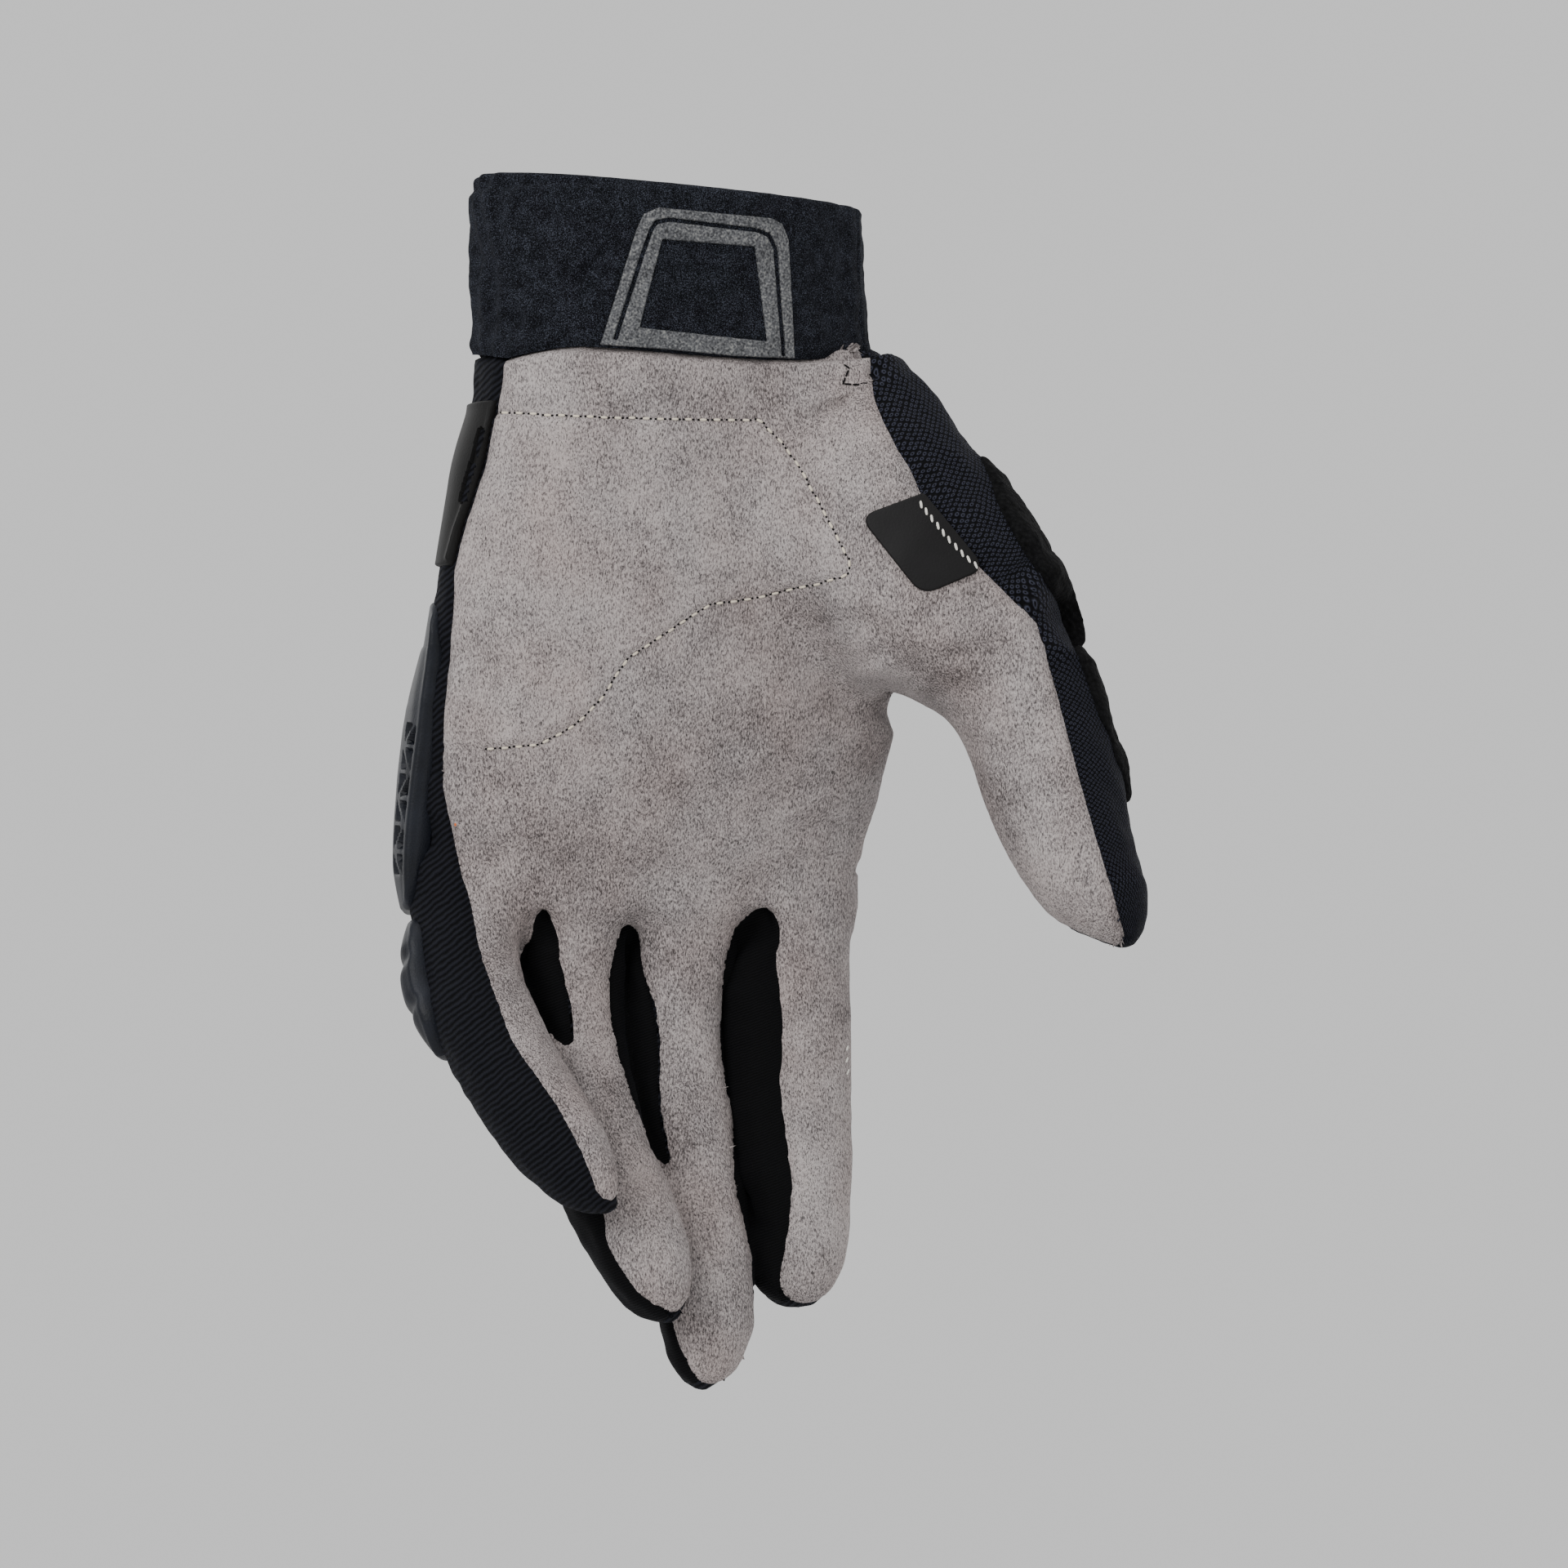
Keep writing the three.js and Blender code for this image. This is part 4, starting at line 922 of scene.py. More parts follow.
def new_material(name, roughness, sheen=0.0, sheen_tint="#808080", gloss=0.1):
    """A material with a Principled shader, and the shader. Cloth has little gloss, because its
    loose fibres shade each other."""
    material = bpy.data.materials.new(name)
    material.use_nodes = True
    shader = material.node_tree.nodes["Principled BSDF"]
    shader.inputs["Roughness"].default_value = roughness
    shader.inputs["Specular IOR Level"].default_value = gloss
    shader.inputs["Sheen Weight"].default_value = sheen
    shader.inputs["Sheen Roughness"].default_value = 0.5
    shader.inputs["Sheen Tint"].default_value = colour(sheen_tint)
    return material, shader


def add(material, kind, settings=(), **links):
    """A node with its settings. links gives its inputs by name: a socket to link, or a value.
    An underscore stands for a space, and a number after the name picks between equal names."""
    node = material.node_tree.nodes.new("ShaderNode" + kind)
    for key, value in dict(settings).items():
        setattr(node, key, value)
    for key, value in links.items():
        place = int(key[5:]) if key.startswith("input") else key.replace("_", " ")
        if isinstance(value, bpy.types.NodeSocket):
            material.node_tree.links.new(value, node.inputs[place])
        else:
            node.inputs[place].default_value = value
    return node


def scaled(material, sizes, turn=(0, 0, 0), source="Object"):
    """Coordinates in which one unit is sizes millimetres along each axis, turned first by degrees.
    A first Mapping turns, and a second one scales."""
    start = add(material, "TexCoord").outputs[source]
    if any(turn):
        start = add(material, "Mapping", Vector=start, Rotation=np.radians(turn).tolist()).outputs[0]
    unit = 1 if source == "UV" else 1 / MM
    scale = [unit / size for size in sizes]
    return add(material, "Mapping", Vector=start, Scale=scale).outputs[0]


def noise(material, sizes, detail=2.0, turn=(0, 0, 0), roughness=0.5):
    """Noise whose blobs are about sizes millimetres, from 0 to 1."""
    at = scaled(material, sizes, turn)
    node = add(material, "TexNoise", Vector=at, Scale=1.0, Detail=detail, Roughness=roughness)
    return node.outputs[0]


def times(material, a, b):
    """Two values multiplied."""
    return add(material, "Math", {"operation": "MULTIPLY"}, input0=a, input1=b).outputs[0]


def sum_of(material, *parts):
    """Values times weights, added up."""
    total = None
    for value, weight in parts:
        part = times(material, value, weight)
        total = part if total is None else add(material, "Math", input0=total, input1=part).outputs[0]
    return total


def ramp(material, value, *stops):
    """Colours by value: each stop is a place from 0 to 1 and a hex colour."""
    node = add(material, "ValToRGB", Fac=value)
    elements = node.color_ramp.elements
    while len(elements) < len(stops):
        elements.new(0.5)
    for element, (place, code) in zip(elements, stops):
        element.position = place
        element.color = colour(code)
    return node.outputs[0]


def mixed(material, share, first, second, how="MIX"):
    """Two colours mixed by a share."""
    settings = {"data_type": "RGBA", "blend_type": how}
    return add(material, "Mix", settings, input0=share, input6=first, input7=second).outputs[2]


def between(material, value, low, high):
    """The value stretched so that low is 0 and high is 1, and held there."""
    node = add(material, "MapRange", Value=value)
    node.inputs["From Min"].default_value = low
    node.inputs["From Max"].default_value = high
    return node.outputs[0]


def bump(material, shader, height, depth, strength=1.0):
    """Relief of a depth in millimetres on the shader's normal."""
    node = add(material, "Bump", Height=height, Strength=strength, Distance=depth * MM)
    material.node_tree.links.new(node.outputs[0], shader.inputs["Normal"])


def paint(material, shader, socket):
    """The shader's colour comes from a socket."""
    material.node_tree.links.new(socket, shader.inputs["Base Color"])


# %% [markdown]
# Synthetic suede is a felt of very fine fibres, ground until it has a nap. From near it shows
# short dashes along the glove, where the fibres lie over pits, and cloudy patches that follow no
# seam: wear, skin oil and the way the nap was stroked. It scatters light at its edge, which is
# what sheen is for. The real fibres are finer than a pixel, so the dashes and pits are drawn as
# coarse as they need to be to show.

# %% Suede
PAINTED_SHADE_AND_LIGHT = [
    # pixel across and down, radius in millimetres, and how much darker, or paler where negative:
    # darker is painted shade in creases and hollows, paler is painted light
    (1000, 1390, 22, -0.18), (1290, 1010, 16, -0.08),
    (705, 1065, 9, 0.16), (620, 1130, 7, 0.14), (615, 1230, 7, 0.12), (1105, 880, 8, 0.14),
    (1150, 840, 6, 0.10), (850, 1180, 10, 0.07), (1000, 1330, 9, 0.08), (860, 1360, 8, 0.08),
    (1215, 960, 8, 0.12), (1190, 720, 7, 0.08), (740, 1350, 7, 0.10), (870, 1620, 6, 0.08),
]
CLOUDS = [
    # length in millimetres, seed, and weight
    (24, 4, 0.11), (10, 5, 0.07), (4, 6, 0.05),
]


def tone_of(points):
    """How light the suede is at each corner, about 0.5: clouds, the smoother heel pad, painted shade
    in the creases and hollows near the finger roots and the web of the thumb, and painted light on
    the index finger and thumb."""
    pixels = to_pixels(points)
    tone = 0.5 + sum(weight * waves(points, length, seed) for length, seed, weight in CLOUDS)
    tone += 0.13 / (1 + np.exp(-2 * heel_pad(pixels)))
    # painted shade where a spot makes the suede darker, painted light where it makes it paler
    for x, y, radius, depth in PAINTED_SHADE_AND_LIGHT:
        tone -= depth * bell(np.linalg.norm(pixels - (x, y), axis=1) * PIXEL, radius)
    return tone


def make_suede():
    """Grey-beige suede with fine dashes, clouds and dark flecks."""
    material, shader = new_material("brushed_synthetic_suede", 0.95, 0.2, "#8f8a88")
    dashes = noise(material, (0.27, 0.27, 0.62), 2.0, (0, 4, 0), 0.55)
    fine = noise(material, (0.17, 0.17, 0.26), 2.0)
    cloud = noise(material, (7, 7, 9), 3.0, roughness=0.55)
    tone = add(material, "Attribute", {"attribute_name": "tone"}).outputs["Fac"]
    shade = sum_of(material, (tone, 0.32), (cloud, 0.16), (dashes, 0.80), (fine, 0.30))
    base = ramp(material, shade, (0.61, "#4a4544"), (0.72, "#767070"), (0.80, "#908988"),
                (0.92, "#aaa3a1"))
    warm = between(material, noise(material, (16, 16, 20), 2.0, (30, 0, 20)), 0.35, 0.7)
    tinted = mixed(material, warm, base, colour("#f9f3f1"), "MULTIPLY")
    pits = between(material, noise(material, (0.3, 0.3, 0.7), 1.0, (0, -9, 0)), 0.6, 0.7)
    pitted = mixed(material, times(material, pits, 0.55), tinted, colour("#2b292a"))
    paint(material, shader, pitted)
    bump(material, shader, sum_of(material, (dashes, 0.9), (fine, 0.4), (pits, -0.5)), 0.3)
    return material


# %% [markdown]
# Three dark cloths are beside it. The back and the fingers' sides are a stretch knit whose ribs
# run askew and ripple. The thumb is a mesh of small loops in staggered rows, about 1.5 mm wide.
# The cuff is foam rubber between two layers of brushed loops, so its surface is fuzz and no weave
# shows. The fuzz is drawn coarser than real fibres, as coarse as it needs to be to show.

# %% Dark cloths
ONE_BAND = 0.31831  # the wave texture's scale at which a band is about one unit wide
ONE_CELL = 1.4142  # the cell texture's scale at which rows turned by 45 degrees are a unit apart


def make_knit(name, dark, light, sizes, turn, depth):
    """A rippled knit: bands across the given direction, bent by noise, with fuzz on them."""
    material, shader = new_material(name, 0.9, 0.12, "#3c3f49")
    at = scaled(material, sizes, turn)
    settings = {"wave_type": "BANDS", "bands_direction": "Z", "wave_profile": "SIN"}
    bands = add(material, "TexWave", settings, Vector=at, Scale=ONE_BAND, Distortion=2.6, Detail=2.0)
    bands.inputs["Detail Scale"].default_value = 1.2
    fuzz = noise(material, (0.3, 0.3, 0.3), 2.0)
    height = sum_of(material, (bands.outputs["Fac"], 0.75), (fuzz, 0.35))
    paint(material, shader, ramp(material, height, (0.15, dark), (0.95, light)))
    bump(material, shader, height, depth)
    return material


def make_loop_mesh():
    """Rows of small loops: a square grid of cells, turned by 45 degrees so that rows stagger."""
    material, shader = new_material("loop_mesh", 0.85, 0.12, "#40434f")
    start = scaled(material, (1.5, 1.15, 1), source="UV")
    bent = noise(material, (5, 5, 5), 1.0)
    moved = add(material, "VectorMath", {"operation": "ADD"}, input0=start, input1=bent).outputs[0]
    at = add(material, "Mapping", Vector=moved, Rotation=(0, 0, np.radians(45))).outputs[0]
    settings = {"feature": "F1", "voronoi_dimensions": "2D"}
    cells = add(material, "TexVoronoi", settings, Vector=at, Scale=ONE_CELL, Randomness=0.18)
    ring = between(material, cells.outputs["Distance"], 0.52, 0.22)
    hole = between(material, cells.outputs["Distance"], 0.05, 0.2)
    fuzz = noise(material, (0.25, 0.25, 0.25), 2.0)
    height = sum_of(material, (times(material, ring, hole), 0.8), (fuzz, 0.25))
    shade = ramp(material, height, (0.1, "#010102"), (0.45, "#0b0b10"), (0.95, "#3a3c49"))
    paint(material, shader, shade)
    bump(material, shader, height, 0.45)
    return material


def make_fuzz(name, dark, middle, light, size, depth, sheen):
    """Brushed loops: noise on two scales and a strong sheen."""
    material, shader = new_material(name, 1.0, sheen, "#2c303c")
    height = sum_of(material, (noise(material, (size,) * 3, 4.0, roughness=0.65), 0.7),
                    (noise(material, (size * 12,) * 3, 2.0), 0.1))
    paint(material, shader, ramp(material, height, (0.31, dark), (0.40, middle), (0.53, light)))
    bump(material, shader, height, depth)
    return material


def make_terry():
    """Towelling: small round loops that stand up close together."""
    material, shader = new_material("terry_towelling", 1.0, 0.15, "#1c1c1e")
    at = scaled(material, (0.75, 0.75, 0.75))
    loops = add(material, "TexVoronoi", {"feature": "SMOOTH_F1"}, Vector=at, Scale=1.0)
    fuzz = noise(material, (0.25, 0.25, 0.25), 2.0)
    height = sum_of(material, (loops.outputs["Distance"], -0.9), (fuzz, 0.4))
    lifted = add(material, "Math", input0=height, input1=0.7).outputs[0]
    paint(material, shader, ramp(material, lifted, (0.1, "#010101"), (0.8, "#131314")))
    bump(material, shader, lifted, 0.5)
    return material


# %% [markdown]
# The print on the cuff is silicone with pale and dark specks, laid on through a screen. The guards
# are moulded rubber with a satin skin, a little blue. Label and wrist panel are smooth and dark.

# %% Rubbers, label and threads


def make_silicone():
    """Speckled print: light and dark grains in a mid grey."""
    material, shader = new_material("speckled_silicone_print", 0.55, gloss=0.35)
    specks = noise(material, (0.42, 0.42, 0.42), 1.0)
    wide = noise(material, (2.5, 2.5, 2.5), 2.0)
    shade = sum_of(material, (specks, 0.85), (wide, 0.2))
    grains = ramp(material, shade, (0.34, "#1b1c1f"), (0.46, "#3c3d40"), (0.58, "#535456"),
                  (0.72, "#747472"))
    paint(material, shader, grains)
    bump(material, shader, shade, 0.15)
    return material


def make_rubber(name, low, high, roughness, depth):
    """Moulded rubber: nearly even colour and a fine etched skin."""
    material, shader = new_material(name, roughness, gloss=0.18)
    shade = sum_of(material, (noise(material, (6, 6, 6), 3.0), 0.7),
                   (noise(material, (0.3, 0.3, 0.3), 1.0), 0.3))
    paint(material, shader, ramp(material, shade, (0.3, low), (0.7, high)))
    bump(material, shader, noise(material, (0.35, 0.35, 0.35), 2.0), depth)
    return material


def make_thread(name, code):
    """Sewing thread: matte, with a slight twist in its relief."""
    material, shader = new_material(name, 0.75, 0.2, "#a0a0a0")
    shader.inputs["Base Color"].default_value = colour(code)
    bump(material, shader, noise(material, (0.12, 0.12, 0.25), 1.0), 0.08)
    return material


suede = make_suede()
back_knit = make_knit("rippled_stretch_knit", "#020203", "#191a20", (1.0, 1.0, 1.05), (0, 38, 0),
                      depth=0.35)
strip_cloth = make_knit("smooth_stretch_cloth", "#020202", "#09090b", (0.5, 0.5, 0.5), (0, 20, 0),
                        depth=0.12)
loop_mesh = make_loop_mesh()
cuff_fuzz = make_fuzz("brushed_neoprene", "#020203", "#0d0e12", "#484c57", 0.21, 0.5, 0.25)
terry = make_terry()
silicone = make_silicone()
guard_rubber = make_rubber("satin_moulded_rubber", "#0b0d12", "#191c24", 0.45, 0.06)
wrist_rubber = make_rubber("matte_wrist_rubber", "#080808", "#0f0e0e", 0.6, 0.06)
label_cloth = make_rubber("smooth_tab", "#080708", "#0e0d0e", 0.55, 0.05)
pale_thread = make_thread("pale_thread", "#cdc3b1")
white_thread = make_thread("white_thread", "#d2cfc8")
black_thread_and_hole_shade = make_thread("black_thread_and_hole_shade", "#050506")
orange_thread = make_thread("orange_thread", "#c9662f")

# %% [markdown]
# Now the panels are cut from the skin. Suede is where its seam's distance is above nought, and the
# knit of the back is what is left over. Each was cut from a rectangle of cloth, and the strips'
# lengths are given below.

# %% Cloth panels
FRONT_BLEND = 12
HEM, HEM_TUCK = 2.6, 2.9  # the panels run on under the cuff by so much, and lie this far in
TUCK_FROM, TUCK_LENGTH = 0.9, 1.6  # below the wrist seam, where they start to dip under the cuff
STRIP_CUTS = {"little_ring": 125, "ring_middle": 160, "middle_index": 160}


def wrist_line(points):
    """How far points lie below the wrist seam: the photograph's wavy line in front, and a level
    line at the back, with a soft change between them."""
    line = np.array(WRIST_WAVE, float)
    scale = (CAMERA_DISTANCE + points[:, 1]) / CAMERA_DISTANCE * PIXEL
    rows_down = np.interp(to_pixels(points)[:, 0], line[:, 0], line[:, 1])
    front = VIEW_CENTRE[2] + (IMAGE_SIDE / 2 - rows_down) * scale
    share = np.clip(0.5 - points[:, 1] / FRONT_BLEND, 0, 1)
    return share * front - (1 - share) * CUFF_HEIGHT - points[:, 2]


wrist_gap = wrist_line(rows[:, :3])
rows = np.concatenate([rows, wrist_gap[:, None]], 1)
WRIST = rows.shape[1] - 1
for column, level in ((WRIST, -HEM), (WRIST, 0), *((column, 0) for column in STRIPS)):
    rows, skin_faces = scored(rows, skin_faces, rows[:, column] - level)
skin_normals = normals_of(rows[:, :3], skin_faces)
tuck = np.clip((TUCK_FROM - rows[:, WRIST]) / TUCK_LENGTH, 0, 1)
rows[:, :3] -= (HEM_TUCK * tuck**2 * (3 - 2 * tuck))[:, None] * skin_normals
skin_normals = normals_of(rows[:, :3], skin_faces)
below = rows[:, WRIST] + HEM
in_suede, in_mesh = rows[:, SUEDE], rows[:, MESH]
in_strip = np.max([rows[:, k] for k in STRIPS], axis=0)

panel("suede_palm", np.minimum(in_suede, below), suede, ["palm"])
on_thumb = np.minimum(np.minimum(in_mesh, -in_suede), below)
panel("mesh_thumb", on_thumb, loop_mesh, ["thumb_panel"])
rest = np.minimum(np.minimum(-in_suede, -in_mesh), below)
for column, (name, length) in zip(STRIPS, STRIP_CUTS.items()):
    mine = np.minimum(rows[:, column], rest)
    panel(f"strip_{name}", mine, strip_cloth, [f"gusset_{name}"])
panel("knit_back", np.minimum(rest, -in_strip), back_knit, ["back_hand"])

# %% [markdown]
# The cuff is a closed surface over angle and height. Its outer wall runs from the wrist seam up to
# a rolled rim, and the inner wall comes down again. It isn't round: foam folds into upright ridges
# by the little finger, it is lapped and sewn on the thumb side, and small slanting dents cross it.

# %% Cuff
RIM_SLOPE, RIM_LEVEL = 0.072, 0.4  # the rim falls towards the thumb
RIM_DROP, RIM_DROP_PLACE, RIM_DROP_WIDTH = 1.6, -39.5, 2.2
CUFF_ROLL = CUFF_WALL / 2  # radius of the rim's roll
SEAM_GAP = 0.25
LAP_ANGLE, LAP_STEP = 34, 0.7  # the lapped side seam
LAP_GROOVE, LAP_GROOVE_PLACE, LAP_GROOVE_WIDTH = 0.5, -9, 1.6  # depth, and degrees from the seam
CUFF_RIDGES = [
    # angle in degrees, height, width in degrees, sway
    (183, 1.0, 4.2, 3.0), (171, 1.3, 4.0, 4.0), (159, 1.1, 3.8, 5.0), (148, 0.6, 3.2, 4.0),
]
CUFF_DENTS = [
    # two pixels that a dent runs between, its depth and width
    ((700, 345), (742, 306), 0.55, 1.0), ((712, 362), (748, 330), 0.35, 0.9),
    ((640, 300), (668, 268), 0.25, 1.2), ((1000, 300), (1012, 380), 0.25, 1.5),
    ((596, 318), (632, 326), 0.7, 0.9), ((590, 395), (640, 388), 0.6, 0.9),
]


def cuff_top(x):
    """The rim's height: a slope, with a drop at the little finger's side."""
    return RIM_LEVEL - RIM_SLOPE * x - RIM_DROP * bell(x - RIM_DROP_PLACE, RIM_DROP_WIDTH)


def cuff_surface(degrees, height, outward):
    """Points of the cuff at an angle and a height from 0 at the seam to 1 at the rim, with the
    relief of its outer side, and outward millimetres from there."""
    flat = skin_point(cuff, np.full(len(degrees), STATIONS / 2), degrees)
    foot = wrist_line(flat * (1, 1, 0)) + SEAM_GAP
    z = foot + (cuff_top(flat[:, 0]) - foot) * height
    t = np.clip(-z / CUFF_HEIGHT, 0, 1) * (STATIONS - 1)
    flat = skin_point(cuff, t, degrees)
    flat[:, 2] = z
    lift = 0.38 * waves(flat, 13, 11) + 0.22 * waves(flat, 5, 12) + 0.08 * waves(flat, 2.2, 13)
    for angle, high, wide, sway in CUFF_RIDGES:
        crest = angle + sway * np.sin(z / 5.3 + angle)
        off = (degrees - crest + 180) % 360 - 180
        lift += high * bell(off, wide) * (0.75 + 0.25 * np.sin(z / 2.9 + angle))
    pixels = to_pixels(flat)
    front = np.clip(-flat[:, 1] / 6, 0, 1)
    for a, b, deep, wide in CUFF_DENTS:
        distance, _ = line_distance(pixels, [a, b])
        lift -= deep * front * bell(distance, wide)
    off = (degrees - LAP_ANGLE + 180) % 360 - 180
    lift += LAP_STEP * (1 / (1 + np.exp(off * 1.3)) - 0.5) * bell(off, 40)
    lift -= LAP_GROOVE * bell(off - LAP_GROOVE_PLACE, LAP_GROOVE_WIDTH)
    out = skin_point(cuff, t, degrees, 1.0) - skin_point(cuff, t, degrees)
    out /= np.linalg.norm(out, axis=1)[:, None]
    return flat + out * (lift + outward)[:, None]


def cuff_profile(steps):
    """Height and offset along the wall: up the outside, round the rim, down the inside."""
    rise = np.linspace(0, 1, steps)
    roll = np.linspace(0, np.pi, 12)[1:-1]
    edge = -0.9 * bell(rise, 0.035)
    top = 1 - CUFF_ROLL / CUFF_HEIGHT
    up = np.stack([rise * top, edge], 1)
    over = np.stack([top + np.sin(roll) * (1 - top), -CUFF_ROLL + CUFF_ROLL * np.cos(roll)], 1)
    down = np.stack([np.linspace(top, 0, 30), np.full(30, -2 * CUFF_ROLL)], 1)
    return np.concatenate([up, over, down])


def make_cuff(sides=560, steps=90):
    """The cuff's wall as a torus of rows round the wrist and columns along its profile."""
    profile = cuff_profile(steps)
    degrees = np.arange(sides) * 360 / sides
    height = np.repeat(profile[:, 0], sides)
    outward = np.repeat(profile[:, 1], sides)
    points = cuff_surface(np.tile(degrees, len(profile)), height, outward)
    i, j = np.meshgrid(np.arange(len(profile)), np.arange(sides), indexing="ij")
    after, beside_it = (i + 1) % len(profile), (j + 1) % sides
    here, above = i * sides, after * sides
    quads = np.stack([here + j, above + j, above + beside_it, here + beside_it], -1)
    mesh = mesh_of("cuff_wall", points, quads.reshape(-1, 4))
    return piece("cuff_wall", mesh, cuff_fuzz, ["cuff"])


cuff_wall = make_cuff()

# %% [markdown]
# Everything that lies on the cloth is made in one way: a dense patch of the surface below, cut
# along an outline, and raised with a rounded border. The outline is a number at each corner, how
# far it is inside, so any shape that can be written as a distance can be laid on.

# %% Raised patches


def grid_faces(rows_down, columns):
    """Triangles of an open grid whose rows run down and columns to the right, seen from outside."""
    i, j = np.meshgrid(np.arange(rows_down - 1), np.arange(columns - 1), indexing="ij")
    a = i * columns + j
    first = np.stack([a, a + columns + 1, a + 1], -1).reshape(-1, 3)
    second = np.stack([a, a + columns, a + columns + 1], -1).reshape(-1, 3)
    return np.concatenate([first, second])


def rounded(inside, radius):
    """A quarter circle: nought at the border, and 1 from a radius inside it."""
    s = np.clip(1 - inside / radius, 0, 1)
    return np.sqrt(1 - s**2)


def raised(name, points, triangles, inside, height, border, sunk, material, replaces=()):
    """A solid patch: the part of a surface inside an outline, raised by height with a border
    rounded to a radius, and sunk on its lower side. height is one number for each corner."""
    normals = normals_of(points, triangles)
    made_rows = np.concatenate([points, normals, np.stack([inside, height + 0 * inside], 1)], 1)
    for level in (0, border * 0.15, border * 0.5, border):
        made_rows, triangles = scored(made_rows, triangles, made_rows[:, 6] - level)
    made_rows, triangles = kept(made_rows, triangles, made_rows[:, 6])
    spots, normals, (inside, high) = made_rows[:, :3], made_rows[:, 3:6], made_rows[:, 6:].T
    normals = normals / np.linalg.norm(normals, axis=1)[:, None]
    top = spots + normals * (high * rounded(inside, border))[:, None]
    both = np.concatenate([top, spots - normals * sunk])
    mesh = mesh_of(name, both, *two_sided(triangles, len(spots)))
    return piece(name, mesh, material, replaces)


def patch_on(tube, first, last, start, end, step=0.45, grow=0.0):
    """A patch of a tube between two shares down it and two angles, as points, triangles, and the
    station and angle of each point."""
    stations = np.interp([first, last], tube.down, np.arange(STATIONS))
    length = np.ptp(stations) * tube.spacing.mean()
    radius = (tube.half_width.max() + tube.half_depth.max()) / 2
    rows_down = int(length / step) + 2
    columns = int(np.radians(end - start) * radius / step) + 2
    t = np.repeat(np.linspace(*stations, rows_down), columns)
    degrees = np.tile(np.linspace(end, start, columns), rows_down)
    return skin_point(tube, t, degrees, grow), grid_faces(rows_down, columns), t, degrees


# %% [markdown]
# The silicone print is a frame with a groove round it, a window and a bar below. Its corners and
# its widths are those of the photograph, so its distance is worked out in pixels.

# %% Cuff print
PRINT_EDGE = [(735, 422), (779, 282), (788, 262), (806, 254), (944, 267), (957, 274), (965, 293),
              (973, 439), (900, 436), (820, 428)]
PRINT_GROOVE = [(754, 414), (786, 314), (797, 282), (804, 272), (819, 269), (926, 282), (941, 288),
                (949, 304), (959, 434)]
PRINT_WINDOW = [(783, 401), (811, 293), (924, 302), (939, 418)]
PRINT_HEIGHT, GROOVE_WIDTH = 0.45, 0.75
PRINT_BORDER, PRINT_SUNK = 0.3, 0.35
PRINT_ANGLES, PRINT_COLUMNS = (128, 46), 240  # the part of the cuff that the print is cut from
PRINT_SHARES, PRINT_ROWS = (0.97, 0.005), 120  # shares of the cuff's height


def make_print():
    """The frame on the cuff."""
    degrees = np.tile(np.linspace(*PRINT_ANGLES, PRINT_COLUMNS), PRINT_ROWS)
    height = np.repeat(np.linspace(*PRINT_SHARES, PRINT_ROWS), PRINT_COLUMNS)
    points = cuff_surface(degrees, height, 0.02)
    pixels = to_pixels(points)
    groove, _ = line_distance(pixels, PRINT_GROOVE)
    inside = np.minimum(inside_outline(pixels, PRINT_EDGE), groove - GROOVE_WIDTH / 2)
    inside = np.minimum(inside, -inside_outline(pixels, PRINT_WINDOW))
    return raised("cuff_frame_print", points, grid_faces(PRINT_ROWS, PRINT_COLUMNS), inside,
                  PRINT_HEIGHT, PRINT_BORDER, PRINT_SUNK, silicone, ["cuff_print"])


make_print()

# %% [markdown]
# The guard over the knuckles is moulded rubber, thickest at the knuckles and rounded off at its
# border. It slopes down to its palm side in a curve. A raised lip runs there, and behind the lip a
# row of triangular pockets with slanting ribs between them, which let it bend. Its back isn't in
# the photograph, so it has only a shallow channel between each two knuckles.

# %% Rubber guards
GUARD_THICKNESS, GUARD_TOP, GUARD_FOOT = 4.4, 0.44, 3
GUARD_ANGLES = (170, 318)
GUARD_STEP, GUARD_RISE = 0.42, 2.6  # the patch's quads, and how far out its edge is looked for
GUARD_BORDER, GUARD_SUNK, GUARD_CORNER, GUARD_LEAST = 0.9, 2.2, 9, 0.5
# share down the palm, and share of the full thickness
GUARD_HEIGHTS = """0.40 0.15
0.50 0.30
0.60 0.62
0.70 0.95
0.80 1.00
0.90 0.95
0.97 0.60
1.02 0.20"""
GUARD_EDGE = [(540, 700), (539, 741), (534, 807), (526, 879), (523, 932), (519, 971), (514, 1011),
              (510, 1057), (505, 1121), (503, 1160)]
LIP_WIDTH, LIP_HEIGHT, LIP_PLACE = 0.9, 0.6, 1.1
FRONT_SLOPE, FRONT_LEAST = 7.5, 1.1  # the guards slope down to their front edge over this length
SIDE_CROWN, CROWN_WIDTH = 2.6, 14  # how much further it stands out beside the pockets; degrees
EDGE_WINDOW = 15  # rows
SILHOUETTE = 196  # degrees round the palm beyond which the camera sees nothing
POCKET_SPAN = (2.2, 6.4)  # from the lip's edge into the guard
POCKET_ENDS = (-100.5, -130)
POCKET_PITCH, POCKET_RIB, POCKET_DEPTH = 4.9, 1.2, 2.2
POCKET_WALL = 0.45  # how steep the pockets' walls are: their width, seen from above
KNUCKLES, CHANNEL = 4, 0.14
LITTLE_GUARD_EDGE = [(503, 1090), (506, 1112), (509, 1139), (512, 1175), (518, 1218), (523, 1257),
                     (530, 1300)]
LITTLE_GUARD_THICKNESS, LITTLE_GUARD_ANGLES, LITTLE_GUARD_ENDS = 3.6, (168, 236), (-0.02, 0.38)
LITTLE_GUARD_STEP, LITTLE_GUARD_RISE = 0.3, 1.8
LITTLE_RADIUS, LITTLE_CORNER, LITTLE_SUNK = 10, 5, 1.8
LITTLE_GROOVES, LITTLE_GROOVE_DEPTH, LITTLE_GROOVE_WIDTH = (0.36, 0.66), 0.9, 0.045


